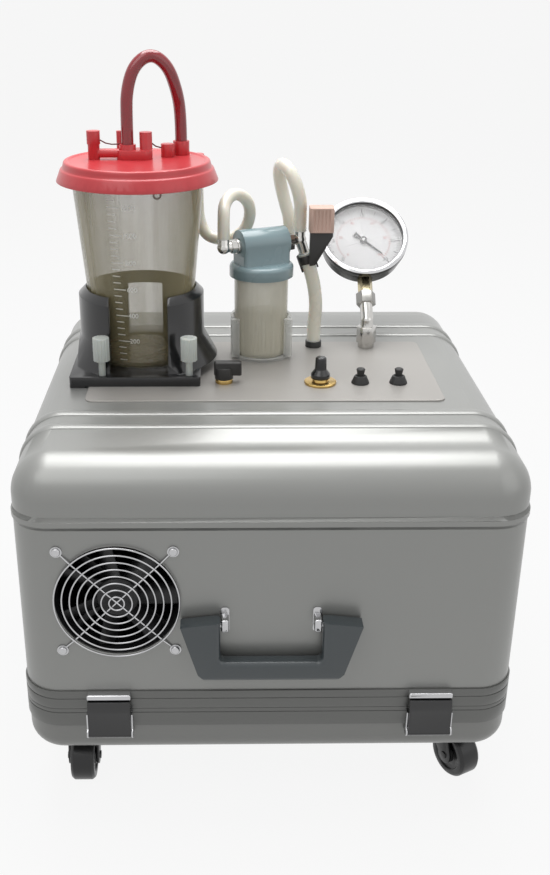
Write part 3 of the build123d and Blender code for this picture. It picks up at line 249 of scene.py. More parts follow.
BROAD_NOISE = 14.0
ROUGH_SPREAD = 0.12
COAT_ROUGH = 0.12
BUMP_DEPTH = 0.0004
SCATTER_REACH = (0.006, 0.005, 0.004)
BRUSH_STRETCH = (0.03, 1.0, 1.0)
DRAW_STRETCH = (1.0, 1.0, 0.03)
DRAW_NOISE = 90.0
RIM_ALPHA = 0.9
RIM_BLEND = 0.35


@dataclass(frozen=True)
class Finish:
    """Everything that one surface finish needs."""

    name: str
    colour: Colour
    rough: float
    metallic: float = 0.0
    coat: float = 0.0
    grain: Grain = Grain.MOULDED
    variation: float = 0.06
    bump: float = 0.08
    scale: float = 900.0
    alpha: float = 1.0
    scatter: float = 0.0
    streak: float = 0.0
    zones: tuple[Zone, ...] = ()

    def material(self) -> bpy.types.Material:
        """Build the material for this finish.

        Returns:
            A material with noise-driven colour, roughness and bump.
        """
        shader = Shader(self.name)
        place = shader.node("ShaderNodeTexCoord", out="Object")
        if self.grain is Grain.BRUSHED:
            brushed = {"Vector": place, "Scale": BRUSH_STRETCH}
            fine_place = shader.node("ShaderNodeMapping", inputs=brushed)
        else:
            fine_place = place
        fine = shader.node(
            "ShaderNodeTexNoise",
            inputs={"Vector": fine_place, "Scale": self.scale, "Detail": 3.0, "Roughness": 0.6},
        )
        broad = shader.node(
            "ShaderNodeTexNoise",
            inputs={"Vector": place, "Scale": BROAD_NOISE, "Detail": 4.0, "Roughness": 0.55},
        )
        low = 1.0 - self.variation
        high = 1.0 + self.variation
        fine_share = 0.45 if self.grain in (Grain.PAINT, Grain.BRUSHED) else 0.2
        mask = fine * fine_share + broad * (1.0 - fine_share)
        colour = shader.blend(mask, tint(self.colour, low), tint(self.colour, high))
        roughness = self.rough - ROUGH_SPREAD / 2 + broad * ROUGH_SPREAD
        metallic: Value = self.metallic
        for zone in self.zones:
            settings = {"operation": "DOT_PRODUCT"}
            along = shader.node("ShaderNodeVectorMath", settings, {0: place, 1: zone.way}, out="Value")
            inside = (along > zone.start * MM) * (1.0 - (along > zone.stop * MM))
            colour = shader.blend(inside, colour, tint(zone.colour, 1.0))
            metallic = metallic + inside * (zone.metallic - self.metallic)
            roughness = roughness + inside * (zone.rough - self.rough)
        shader.set(Base_Color=colour, Roughness=roughness, Metallic=metallic)
        if self.coat:
            shader.set(Coat_Weight=self.coat, Coat_Roughness=COAT_ROUGH)
        if self.bump:
            normal = shader.node(
                "ShaderNodeBump",
                inputs={"Strength": self.bump, "Distance": BUMP_DEPTH, "Height": fine},
                out="Normal",
            )
            shader.set(Normal=normal)
        if self.scatter:
            shader.set(Subsurface_Weight=self.scatter, Subsurface_Scale=1.0)
            shader.set(Subsurface_Radius=SCATTER_REACH)
        if self.grain is Grain.CLEAR:
            rim = shader.node("ShaderNodeLayerWeight", inputs={"Blend": RIM_BLEND}, out="Facing")
            veil = rim * (RIM_ALPHA - self.alpha) + self.alpha
            if self.streak:
                drawn = shader.node("ShaderNodeMapping", inputs={"Vector": place, "Scale": DRAW_STRETCH})
                grooves = {"Vector": drawn, "Scale": DRAW_NOISE, "Detail": 3.0}
                lines = shader.node("ShaderNodeTexNoise", inputs=grooves)
                veil = veil + (lines - 0.5) * self.streak
            shader.set(Alpha=veil)
        return shader.material


class Palette:
    """The finishes of the aspirator, each made once."""

    SILVER_PAINT = Finish(
        "silver_paint", (0.300, 0.303, 0.292), 0.36, metallic=0.45, coat=0.15, grain=Grain.PAINT,
        variation=0.05, bump=0.05, scale=1600.0,
    )
    RAIL = Finish(
        "satin_rail", (0.155, 0.157, 0.151), 0.32, metallic=0.5, grain=Grain.BRUSHED, bump=0.03,
        scale=2400.0,
    )
    # The shells' silver paint made darker: painted shade for the low tray that curves under the case
    TRAY = Finish(
        "tray_paint_painted_shade", (0.215, 0.217, 0.209), 0.36, metallic=0.45, coat=0.15, grain=Grain.PAINT,
        variation=0.05, bump=0.05, scale=1600.0,
    )
    OVERLAY = Finish(
        "panel_film", (0.350, 0.337, 0.318), 0.42, metallic=0.25, grain=Grain.PAINT, bump=0.03,
        scale=1200.0,
    )
    FAN_BLACK = Finish("fan_black", (0.012, 0.012, 0.013), 0.45)
    WIRE = Finish("chromed_wire", (0.50, 0.50, 0.51), 0.14, metallic=1.0, bump=0.01)
    HANDLE = Finish(
        "handle_grey", (0.052, 0.064, 0.070), 0.30, coat=0.35, variation=0.1, bump=0.12, scale=1400.0,
    )
    LATCH = Finish("latch_black", (0.006, 0.006, 0.007), 0.22, coat=0.4, bump=0.03)
    STEEL = Finish("zinc_steel", (0.45, 0.45, 0.46), 0.35, metallic=1.0, grain=Grain.BRUSHED, bump=0.05)
    CASTER = Finish("caster_black", (0.010, 0.010, 0.011), 0.30, variation=0.12, bump=0.1)
    HOLDER = Finish("holder_black", (0.007, 0.007, 0.008), 0.24, coat=0.25, bump=0.02)
    NYLON = Finish("natural_nylon", (0.62, 0.66, 0.63), 0.38, scatter=0.25, bump=0.05)
    JAR = Finish(
        "jar_styrene", (0.44, 0.39, 0.23), 0.14, grain=Grain.CLEAR, alpha=0.22, bump=0.02, scale=300.0,
        streak=0.3,
    )
    LID = Finish("lid_red", (0.57, 0.043, 0.052), 0.32, coat=0.2, variation=0.08, bump=0.06)
    RED_HOSE = Finish("red_hose", (0.27, 0.006, 0.014), 0.14, coat=0.6, variation=0.3, bump=0.02)
    CREAM_HOSE = Finish(
        "cream_hose", (0.88, 0.86, 0.76), 0.28, coat=0.25, variation=0.08, scatter=0.6, bump=0.03,
        scale=400.0,
    )
    TRAP_CLEAR = Finish(
        "trap_clear", (0.86, 0.83, 0.70), 0.16, grain=Grain.CLEAR, alpha=0.42, bump=0.02, scale=300.0,
        streak=0.15,
    )
    HOLDER_CLEAR = Finish(
        "acrylic_holder", (0.80, 0.81, 0.78), 0.12, grain=Grain.CLEAR, alpha=0.30, bump=0.02,
    )
    CAP_BLUE = Finish("cap_blue_grey", (0.235, 0.325, 0.350), 0.27, coat=0.3, variation=0.08, bump=0.05)
    CHROME = Finish(
        "fitting_chrome", (0.58, 0.57, 0.55), 0.18, metallic=1.0, bump=0.02,
        zones=(
            Zone((0.0, 0.0, 1.0), PANEL_TOP - 1, PANEL_TOP + 7, (0.03, 0.03, 0.03), 0.0, 0.5),
        ),
    )
    STEM = Finish(
        "stem_plating", (0.58, 0.57, 0.55), 0.18, metallic=1.0, bump=0.02,
        zones=(
            Zone(GAUGE_UP, STEM_TURN + 19, STEM_TURN + 33, (0.30, 0.295, 0.28), 1.0, 0.3),
            Zone(GAUGE_UP, STEM_TURN + 33, STEM_TURN + 90, (0.60, 0.52, 0.33), 1.0, 0.25),
        ),
    )
    DARK = Finish("dark_moulding", (0.020, 0.019, 0.018), 0.40)
    FILTER = Finish(
        "filter_sinter", (0.60, 0.42, 0.35), 0.5, metallic=0.2, variation=0.3, bump=0.4, scale=500.0,
    )
    GAUGE_BLACK = Finish("gauge_enamel", (0.012, 0.012, 0.012), 0.16, coat=0.6, bump=0.01)
    BEZEL = Finish(
        "bezel_ring", (0.60, 0.60, 0.61), 0.14, metallic=1.0, bump=0.01,
        zones=(
            Zone(GAUGE_OUT, DIAL_PLANE - 20, DIAL_PLANE + 4.3, (0.012, 0.012, 0.012), 0.0, 0.2),
        ),
    )
    DIAL = Finish("dial_face", (0.88, 0.88, 0.89), 0.5, variation=0.01, bump=0.01)
    DIAL_INK = Finish("dial_ink", (0.010, 0.010, 0.010), 0.5, bump=0.0)
    DIAL_RED = Finish("dial_red", (0.50, 0.04, 0.03), 0.5, bump=0.0)
    NEEDLE = Finish("needle_black", (0.010, 0.010, 0.010), 0.35, bump=0.0)
    LENS = Finish("lens_clear", (0.90, 0.90, 0.90), 0.05, grain=Grain.CLEAR, alpha=0.06, bump=0.0)
    BRASS = Finish("brass", (0.62, 0.43, 0.16), 0.25, metallic=1.0, bump=0.03)
    PUMP = Finish("pump_paint", (0.16, 0.17, 0.18), 0.45, grain=Grain.PAINT)
    RUBBER = Finish("boot_rubber", (0.016, 0.016, 0.016), 0.55, bump=0.12)
    TETHER = Finish("tether_dark", (0.10, 0.012, 0.014), 0.4, bump=0.0)
    MARK = Finish("moulded_mark", (0.26, 0.20, 0.17), 0.4, bump=0.0)
    PRINT_WHITE = Finish("scale_print", (0.85, 0.85, 0.82), 0.5, bump=0.0)

    def __init__(self) -> None:
        """Start with nothing made."""
        self._made: dict[str, bpy.types.Material] = {}

    def get(self, finish: Finish) -> bpy.types.Material:
        """The material of a finish, made on first use."""
        if finish.name not in self._made:
            self._made[finish.name] = finish.material()
        return self._made[finish.name]


PALETTE = Palette()


# Mesh tools


def add_object(name: str, data: object) -> Object:
    """A new object of the scene that holds some data."""
    piece = bpy.data.objects.new(name, data)
    bpy.context.scene.collection.objects.link(piece)
    return piece


def evaluated_mesh(piece: Object) -> Mesh:
    """A new mesh of what an object looks like with its modifiers."""
    graph = bpy.context.evaluated_depsgraph_get()
    return bpy.data.meshes.new_from_object(piece.evaluated_get(graph))


def to_mesh(shape: BMesh, name: str) -> Mesh:
    """A new mesh made from a bmesh, which is freed."""
    mesh = bpy.data.meshes.new(name)
    shape.to_mesh(mesh)
    shape.free()
    return mesh


def link(name: str, mesh: Mesh, finish: Finish) -> Object:
    """Put a mesh, in metres in the shared frame, into the scene as a piece with one finish."""
    piece = add_object(name, mesh)
    mesh.materials.clear()
    mesh.materials.append(PALETTE.get(finish))
    return piece


def smooth(mesh: Mesh, angle: float = 35.0) -> None:
    """Shade a mesh smooth, with edges over an angle in degrees kept sharp."""
    for polygon in mesh.polygons:
        polygon.use_smooth = True
    mesh.set_sharp_from_angle(angle=math.radians(angle))


def from_bmesh(
    shape: BMesh, name: str, finish: Finish, angle: float = 35.0
) -> Object:
    """Turn a bmesh, which is freed, into a piece shaded smooth up to an angle in degrees."""
    bmesh.ops.recalc_face_normals(shape, faces=shape.faces[:])
    mesh = to_mesh(shape, name)
    smooth(mesh, angle)
    return link(name, mesh, finish)


def ride(piece: Object, body: str) -> None:
    """Make a piece move with a body and note that body on it."""
    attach(piece, body)


def apply_modifiers(piece: Object) -> None:
    """Replace a piece's mesh by its evaluated one and drop its modifiers."""
    mesh = evaluated_mesh(piece)
    piece.modifiers.clear()
    piece.data = mesh


def soften_hem(shape: BMesh) -> None:
    """Slope the two edges of the top shell's hem into a raised bead."""
    half_width, half_depth, corner = 236.0, 242.0, 36.0
    hem_high, high_drop = 332.5, 4.5
    hem_low, low_lift = 319.5, 3.5
    proud, near = 1.2, 0.2
    middle = (FRONT + BACK) / 2
    for vertex in shape.verts:
        x, y, z = (c / MM for c in vertex.co)
        across = abs(x) - half_width + corner
        along = abs(y - middle) - half_depth + corner
        outset = math.hypot(max(across, 0.0), max(along, 0.0)) + min(max(across, along), 0.0) - corner
        if outset > proud and abs(z - hem_high) < near:
            vertex.co.z -= high_drop * MM
        elif outset > proud and abs(z - hem_low) < near:
            vertex.co.z += low_lift * MM


WELD_DISTANCE = 2e-6
FLAT_ANGLE = math.radians(0.6)
INSET_DEPTH = 0.8
FACES_FRONT = -0.7


@dataclass
class Dressing:
    """A rounded-edge copy of one CAD node that stands for it."""

    node: str
    finish: Finish
    bevel: float = 0.5
    angle: float = 32.0
    segments: int = 2
    inset: float = 0.0
    shape_by: Callable[[BMesh], None] | None = None

    def build(self) -> None:
        """Weld the node's triangles, round its edges and replace it."""
        source = frame["nodes"][self.node]
        shape = bmesh.new()
        shape.from_mesh(source.data)
        bmesh.ops.remove_doubles(shape, verts=shape.verts[:], dist=WELD_DISTANCE)
        corners, edges = shape.verts[:], shape.edges[:]
        bmesh.ops.dissolve_limit(shape, angle_limit=FLAT_ANGLE, verts=corners, edges=edges)
        if self.inset:
            front = [f for f in shape.faces if f.normal.y < FACES_FRONT]
            panel = max(front, key=lambda f: f.calc_area())
            bmesh.ops.inset_individual(
                shape, faces=[panel], thickness=self.inset * MM, depth=-INSET_DEPTH * MM
            )
        if self.shape_by:
            self.shape_by(shape)
        mesh = to_mesh(shape, f"{self.node}_skin")
        smooth(mesh, self.angle)
        piece = link(f"{self.node}_skin", mesh, self.finish)
        if self.bevel:
            bevel = piece.modifiers.new("round", "BEVEL")
            bevel.width = self.bevel * MM
            bevel.segments = self.segments
            bevel.limit_method = "ANGLE"
            bevel.angle_limit = math.radians(self.angle)
            bevel.use_clamp_overlap = True
            bevel.harden_normals = False
            apply_modifiers(piece)
            smooth(piece.data, self.angle)
        ride(piece, source["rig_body"])
        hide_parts(self.node)
        LOG.info("dressed %s with %s", self.node, self.finish.name)


@dataclass
class Assembly:
    """A group of pieces that belong together, with the CAD nodes that it dresses."""

    dressings: tuple[Dressing, ...] = ()

    def build(self) -> None:
        """Dress every node of the group."""
        for dressing in self.dressings:
            dressing.build()


def coat_node(node: str, finish: Finish) -> None:
    """Give a CAD node that stays as it is a better material."""
    mesh = frame["nodes"][node].data
    mesh.materials.clear()
    mesh.materials.append(PALETTE.get(finish))


# Studio


def watched(tree: bpy.types.NodeTree) -> Sock:
    """One on camera, glossy and transmission rays, nought on all others."""
    rays = tree.nodes.new("ShaderNodeLightPath")
    seen = Sock(tree, rays.outputs["Is Camera Ray"])
    for ray in ("Is Glossy Ray", "Is Transmission Ray"):
        seen = seen + Sock(tree, rays.outputs[ray])
    return seen > 0.5


@dataclass
class Studio:
    """Camera, pale floor and soft lights."""

    eye: Point = (-44.0, FRONT - 834.5, 778.6)
    yaw: float = 0.98
    pitch: float = 23.94
    roll: float = -0.23
    focal_pixels: float = 1068.6
    picture: tuple[int, int] = (550, 875)
    centre_pixels: tuple[float, float] = (239.7, 439.4)
    sensor: float = 36.0
    far_clip: float = 50.0
    aim: Point = (0.0, 0.0, 0.3)
    world_light: float = 0.30
    floor_half: float = 45.0
    floor_grey: float = 0.52
    floor_glow: float = 0.9

    def camera(self) -> None:
        """Create the camera at the solved position and make it the scene's own."""
        yaw, pitch, roll = (math.radians(a) for a in (self.yaw, self.pitch, self.roll))
        forward = Vector(
            (math.sin(yaw) * math.cos(pitch), math.cos(yaw) * math.cos(pitch), -math.sin(pitch))
        )
        level = Vector((math.cos(yaw), -math.sin(yaw), 0.0))
        down = forward.cross(level)
        right = level * math.cos(roll) + down * math.sin(roll)
        up = level * math.sin(roll) - down * math.cos(roll)
        data = bpy.data.cameras.new("camera")
        data.sensor_width = self.sensor
        data.sensor_fit = "AUTO"
        data.lens = self.focal_pixels * self.sensor / self.picture[1]
        data.shift_x = (self.picture[0] / 2 - self.centre_pixels[0]) / self.picture[1]
        data.shift_y = (self.centre_pixels[1] - self.picture[1] / 2) / self.picture[1]
        data.clip_end = self.far_clip
        camera = add_object("camera", data)
        turn = Matrix((right, up, -forward)).transposed().to_4x4()
        camera.matrix_world = Matrix.Translation(metres(self.eye)) @ turn
        bpy.context.scene.camera = camera

    def lamp(self, name: str, place: Point, size: float, power: float) -> None:
        """Hang one square soft lamp, in metres and watts, aimed at the object's middle."""
        data = bpy.data.lights.new(name, "AREA")
        data.size = size
        data.energy = power
        lamp = add_object(name, data)
        aim = Vector(self.aim) - Vector(place)
        turn = aim.to_track_quat("-Z", "Y").to_matrix().to_4x4()
        lamp.matrix_world = Matrix.Translation(Vector(place)) @ turn

    def world(self) -> None:
        """White to the camera and in reflections, soft grey light elsewhere."""
        world = bpy.data.worlds.new("studio")
        world.use_nodes = True
        bpy.context.scene.world = world
        surface = world.node_tree.nodes["Background"]
        strength = watched(world.node_tree) * (1.0 - self.world_light) + self.world_light
        world.node_tree.links.new(strength.socket, surface.inputs["Strength"])
        surface.inputs["Color"].default_value = (1.0, 1.0, 1.0, 1.0)

    def floor(self) -> None:
        """Lay a wide pale floor that keeps the object's shadow."""
        shape = bmesh.new()
        bmesh.ops.create_grid(shape, x_segments=1, y_segments=1, size=self.floor_half)
        mesh = to_mesh(shape, "floor")
        floor = add_object("floor", mesh)
        shader = Shader("floor_pale")
        shader.set(Base_Color=tint((self.floor_grey,) * 3, 1.0), Roughness=0.9)
        white = {"Color": (1.0, 1.0, 1.0, 1.0), "Strength": 1.0}
        glow = shader.node("ShaderNodeEmission", inputs=white)
        mix = shader.tree.nodes.new("ShaderNodeMixShader")
        shader.feed(mix.inputs["Fac"], watched(shader.tree) * self.floor_glow)
        shader.tree.links.new(shader.surface.outputs[0], mix.inputs[1])
        shader.tree.links.new(glow.socket, mix.inputs[2])
        shader.tree.links.new(mix.outputs[0], shader.tree.nodes["Material Output"].inputs["Surface"])
        mesh.materials.append(shader.material)

    def build(self) -> None:
        """Make the camera, world, floor and lamps."""
        bpy.context.scene.view_settings.view_transform = "Standard"
        self.camera()
        self.world()
        self.floor()
        self.lamp("key", place=(-0.9, -1.3, 2.3), size=1.6, power=12.0)
        self.lamp("fill", place=(1.6, -1.2, 1.3), size=1.6, power=4.0)
        self.lamp("top", place=(0.0, 0.5, 2.4), size=1.8, power=56.0)


# Hoses


@dataclass
class Hose:
    """One flexible hose from fitting to fitting."""

    name: str
    points: Sequence[Point]
    diameter: float
    length: float
    finish: Finish
    slot: str
    stiffness: str = "stiff"

    def build(self) -> None:
        """Lay the hose as one smooth NURBS line."""
        data = bpy.data.curves.new(self.name, "CURVE")
        data.dimensions = "3D"
        data.bevel_depth = self.diameter / 2 * MM
        data.bevel_resolution = 6
        data.use_fill_caps = True
        spline = data.splines.new("NURBS")
        spline.points.add(len(self.points) - 1)
        for control, place in zip(spline.points, self.points):
            control.co = (*metres(place), 1.0)
        spline.order_u = 3
        spline.use_endpoint_u = True
        spline.resolution_u = 10
        data.materials.append(PALETTE.get(self.finish))
        piece = add_object(f"{self.name}_line", data)
        ride(piece, "case")
        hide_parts(self.name)
        tuple(metres(self.points[0]))
        self.diameter * MM
        LOG.info("laid %s", self.name)


# Trap, its side fittings, the seats of the hoses and the lean of the vacuum hose, in millimetres
TRAP_X = -2.0
TRAP_BACK = 293.0
CAP_AXIS_Z = 507.0
TRAP_TURN = math.radians(25.0)
TEE_OUT = 46.3
ELBOW_OUT = 45.0
TEE = (TRAP_X + TEE_OUT * math.cos(TRAP_TURN), back(TRAP_BACK) + TEE_OUT * math.sin(TRAP_TURN))
ELBOW = (TRAP_X - ELBOW_OUT * math.cos(TRAP_TURN), back(TRAP_BACK) - ELBOW_OUT * math.sin(TRAP_TURN))
LID_SEAT = 611.8
CAP_SEAT = CAP_AXIS_Z + 9
LEAN_START = 16.0
LEAN_RUN = 20.0
LEAN = Vector((5.5, 0.8, -15.0)).normalized()
LEAN_FOOT = Vector((TEE[0], TEE[1], CAP_AXIS_Z)) + LEAN * LEAN_START


@dataclass
class HoseSet:
    """The four hoses of the top."""

    hoses: tuple[Hose, ...] = (
        Hose(
            "tandem_tube",
            [
                (-140.0, back(280), LID_SEAT), (-140.0, back(280), 638.0),
                (-139.0, back(279), 664.0), (-131.0, back(281), 688.0),
                (-114.0, back(285), 699.0), (-98.0, back(290), 687.0),
                (-90.0, back(296), 664.0), (-86.5, back(306), 640.0),
                (-86.5, back(306), LID_SEAT),
            ],
            diameter=12.6,
            length=194.3,
            finish=Palette.RED_HOSE,
            slot="tube_red",
        ),
        Hose(
            "suction_tube",
            [
                (-71.0, back(341), 566.0), (-71.0, back(341), 545.0),
                (-70.0, back(338), 524.0), (-63.0, back(334), 507.0),
                (-48.0, back(331), 502.0), (-31.0, back(330), 504.0),
                (-18.0, back(328), 515.0), (-13.0, back(325), 532.0),
                (-17.0, back(318), 549.0), (-31.0, back(304), 559.0),
                (-42.0, back(290), 551.0), (ELBOW[0], ELBOW[1], 537.0),
                (ELBOW[0], ELBOW[1], CAP_SEAT),
            ],
            diameter=13.0,
            length=226.1,
            finish=Palette.CREAM_HOSE,
            slot="tube_cream",
        ),
        Hose(
            "loop_tube",
            [
                (31.0, back(343), CAP_AXIS_Z - 5), (31.0, back(343), 521.0),
                (25.0, back(346), 540.0), (20.0, back(346), 559.0),
                (17.0, back(340), 576.0), (20.0, back(326), 586.0),
                (27.0, back(312.5), 581.0), (34.5, back(306.5), 567.0),
                (39.5, back(307), 549.0), (TEE[0], TEE[1], 533.0),
                (TEE[0], TEE[1], CAP_SEAT),
            ],
            diameter=14.0,
            length=176.8,
            finish=Palette.CREAM_HOSE,
            slot="tube_cream",
        ),
        Hose(
            "vacuum_tube",
            [
                (58.7, back(316.6), PANEL_TOP + 6.5), (58.7, back(316.6), 410.0),
                (60.5, back(316), 432.0), (57.5, back(315.3), 454.0),
                tuple(LEAN_FOOT + LEAN * LEAN_RUN), tuple(LEAN_FOOT),
            ],
            diameter=15.0,
            length=104.1,
            finish=Palette.CREAM_HOSE,
            slot="tube_cream",
        ),
    )

    def build(self) -> None:
        """Lay every hose along its own control points."""
        for hose in self.hoses:
            hose.build()


# Geometry Nodes


class Geometry:
    """A Geometry Nodes tree under construction."""

    def __init__(self, name: str) -> None:
        """Start a named tree with a geometry output."""
        self.tree = bpy.data.node_groups.new(name, "GeometryNodeTree")
        self.tree.interface.new_socket("Geometry", in_out="OUTPUT", socket_type="NodeSocketGeometry")
        self.inputs = self.tree.nodes.new("NodeGroupInput")
        self.output = self.tree.nodes.new("NodeGroupOutput")
        self.identifiers: dict[str, str] = {}

    def declare(self, **kinds: str) -> None:
        """Add named inputs, each kind being Float, Int or Material."""
        for name, kind in kinds.items():
            socket = self.tree.interface.new_socket(name, in_out="INPUT", socket_type=f"NodeSocket{kind}")
            self.identifiers[name] = socket.identifier

    def given(self, name: str) -> bpy.types.NodeSocket:
        """The inside end of a named input."""
        return self.inputs.outputs[name]

    def node(
        self,
        kind: str,
        inputs: Mapping[Union[str, int], object] | None = None,
        settings: Mapping[str, object] | None = None,
    ) -> bpy.types.NodeSocket:
        """Add one node.

        Args:
            kind: Blender's name for the node type.
            inputs: Values or sockets by input name or number.
            settings: Properties of the node, set first.

        Returns:
            Its first output.
        """
        node = self.tree.nodes.new(kind)
        for key, value in (settings or {}).items():
            setattr(node, key, value)
        for key, value in (inputs or {}).items():
            if isinstance(value, bpy.types.NodeSocket):
                self.tree.links.new(value, node.inputs[key])
            else:
                node.inputs[key].default_value = value
        return node.outputs[0]

    def finish(self, geometry: bpy.types.NodeSocket, material: str) -> None:
        """Realize the instances, set the material and connect the output."""
        real = self.node("GeometryNodeRealizeInstances", {0: geometry})
        coated = {"Geometry": real, "Material": self.given(material)}
        dressed = self.node("GeometryNodeSetMaterial", coated)
        self.tree.links.new(dressed, self.output.inputs[0])

    def bake(
        self, name: str, values: Mapping[str, object], place: Matrix, finish: Finish
    ) -> Object:
        """Run the tree once and keep its result as a plain piece.

        Args:
            name: Name of the piece.
            values: Input values by name.
            place: Transform applied to the mesh.
            finish: Finish of the piece.

        Returns:
            The new object.
        """
        carrier = add_object(f"{name}_carrier", bpy.data.meshes.new(f"{name}_seed"))
        modifier = carrier.modifiers.new("shape", "NODES")
        modifier.node_group = self.tree
        for key, value in values.items():
            modifier[self.identifiers[key]] = value
        mesh = evaluated_mesh(carrier)
        carrier.modifiers.clear()
        bpy.data.objects.remove(carrier)
        mesh.transform(place)
        smooth(mesh, angle=50.0)
        return link(name, mesh, finish)


def ring_tree() -> Geometry:
    """A tree that makes concentric round-wire rings in the XY plane."""
    tree = Geometry("wire_rings")
    tree.declare(Rings="Int", First="Float", Pitch="Float", Wire="Float", Finish="Material")
    line = tree.node("GeometryNodeMeshLine", {"Count": tree.given("Rings"), "Offset": (0.0, 0.0, 0.0)})
    index = tree.node("GeometryNodeInputIndex")
    grown = {0: index, 1: tree.given("Pitch"), 2: tree.given("First")}
    size = tree.node("ShaderNodeMath", grown, {"operation": "MULTIPLY_ADD"})
    flat = tree.node("ShaderNodeCombineXYZ", {"X": size, "Y": size, "Z": 1.0})
    circle = tree.node("GeometryNodeCurvePrimitiveCircle", {"Resolution": 72, "Radius": 1.0})
    spread = {"Points": line, "Instance": circle, "Scale": flat}
    placed = tree.node("GeometryNodeInstanceOnPoints", spread)
    real = tree.node("GeometryNodeRealizeInstances", {0: placed})
    round_wire = {"Resolution": 10, "Radius": tree.given("Wire")}
    profile = tree.node("GeometryNodeCurvePrimitiveCircle", round_wire)
    swept = tree.node("GeometryNodeCurveToMesh", {"Curve": real, "Profile Curve": profile})
    tree.finish(swept, "Finish")
    return tree


TICK_THICK = 0.0001


def tick_tree() -> Geometry:
    """A tree that stands flat ticks round an arc in the XY plane."""
    tree = Geometry("arc_ticks")
    tree.declare(Ticks="Int", Radius="Float", Start="Float", Step="Float")
    tree.declare(Length="Float", Width="Float", Finish="Material")
    line = tree.node("GeometryNodeMeshLine", {"Count": tree.given("Ticks")})
    index = tree.node("GeometryNodeInputIndex")
    turned = {0: index, 1: tree.given("Step"), 2: tree.given("Start")}
    angle = tree.node("ShaderNodeMath", turned, {"operation": "MULTIPLY_ADD"})
    across = tree.node("ShaderNodeMath", {0: angle}, {"operation": "COSINE"})
    along = tree.node("ShaderNodeMath", {0: angle}, {"operation": "SINE"})
    way = tree.node("ShaderNodeCombineXYZ", {"X": across, "Y": along})
    reach = {0: way, "Scale": tree.given("Radius")}
    spot = tree.node("ShaderNodeVectorMath", reach, {"operation": "SCALE"})
    moved = {"Geometry": line, "Position": spot}
    settle = tree.node("GeometryNodeSetPosition", moved)
    extent = {"X": tree.given("Length"), "Y": tree.given("Width"), "Z": TICK_THICK}
    size = tree.node("ShaderNodeCombineXYZ", extent)
    bar = tree.node("GeometryNodeMeshCube", {"Size": size})
    turn = tree.node("ShaderNodeCombineXYZ", {"Z": angle})
    spread = {"Points": settle, "Instance": bar, "Rotation": turn}
    placed = tree.node("GeometryNodeInstanceOnPoints", spread)
    tree.finish(placed, "Finish")
    return tree


# Case


@dataclass
class CaseShells(Assembly):
    """Painted shells and rails, with what is fixed to their walls."""

    fan_centre: Point = (-141.3, FRONT, 246.5)
    guard_out: float = 4.0
    ring_first: float = 7.0
    ring_pitch: float = 7.2
    rings: int = 8
    wire: float = 0.85
    screw_pitch: float = 104.8
    lug_out: float = 0.9
    lug_middle: float = 0.85
    bar_thicker: float = 1.1
    bar_near: float = 0.93
    bar_bend: float = 0.80
    bar_in: float = 1.6
    lug: tuple[float, float, float] = (2.2, 5.4, 1.5)
    dressings: tuple[Dressing, ...] = (
        # The tray takes the darker copy of the silver paint, which is painted shade
        Dressing("bottom_tray", Palette.TRAY, 0.0),
        Dressing("body_shell", Palette.SILVER_PAINT, 0.0),
        Dressing("top_shell", Palette.SILVER_PAINT, 0.0, shape_by=soften_hem),
        Dressing("lower_valance", Palette.RAIL, 0.5),
        Dressing("upper_valance", Palette.RAIL, 0.5),
        Dressing("control_panel", Palette.OVERLAY, 0.0),
        Dressing("fan_frame", Palette.FAN_BLACK, 0.4),
        Dressing("fan_impeller", Palette.FAN_BLACK, 0.0),
        Dressing("fan_screws", Palette.WIRE, 0.3),
        Dressing("handle", Palette.HANDLE, 5.0, segments=4),
        Dressing("handle_posts", Palette.WIRE, 0.5),
        Dressing("latch_bases", Palette.WIRE, 0.3),
        Dressing("latch_lever_left", Palette.LATCH, 0.8, inset=4.0),
        Dressing("latch_lever_right", Palette.LATCH, 0.8, inset=4.0),
        Dressing("latch_keepers", Palette.WIRE, 0.5),
        Dressing("hinge_lower_leaves", Palette.STEEL, 0.3),
        Dressing("hinge_upper_leaves", Palette.STEEL, 0.3),
        Dressing("caster_plates", Palette.STEEL, 0.4),
        Dressing("power_inlet", Palette.DARK, 0.4),
    )

    def guard(self) -> None:
        """Make the wire guard: rings by a node tree, bars and lugs by hand."""
        x, y, z = self.fan_centre
        middle = Matrix.Translation(metres((x, y - self.guard_out, z)))
        facing = middle @ Matrix.Rotation(math.pi / 2, 4, "X")
        rings = ring_tree().bake(
            "guard_rings",
            {
                "Rings": self.rings,
                "First": self.ring_first * MM,
                "Pitch": self.ring_pitch * MM,
                "Wire": self.wire * MM,
                "Finish": PALETTE.get(Palette.WIRE),
            },
            facing,
            Palette.WIRE,
        )
        ride(rings, "case")
        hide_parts("fan_guard")
        shape = bmesh.new()
        half = self.screw_pitch / 2
        for sx, sz in ((1, 1), (1, -1)):
            route = []
            for side in (-1, 1):
                ux, uz = side * sx, side * sz
                points = [
                    (x + ux * half * self.bar_near, y - self.lug_out, z + uz * half * self.bar_near),
                    (
                        x + ux * half * self.bar_bend,
                        y - self.guard_out + self.bar_in,
                        z + uz * half * self.bar_bend,
                    ),
                ]
                route += points[::-side]
            wire_path(shape, route, self.wire * self.bar_thicker)
        for sx in (-1, 1):
            for sz in (-1, 1):
                centre = Vector((x + sx * half, y - self.lug_middle, z + sz * half))
                washer(shape, centre, *self.lug, Vector((0, -1, 0)))
        ride(from_bmesh(shape, "guard_bars", Palette.WIRE), "case")

    def build(self) -> None:
        """Dress every piece of the case and add the fan's guard."""
        super().build()
        self.guard()


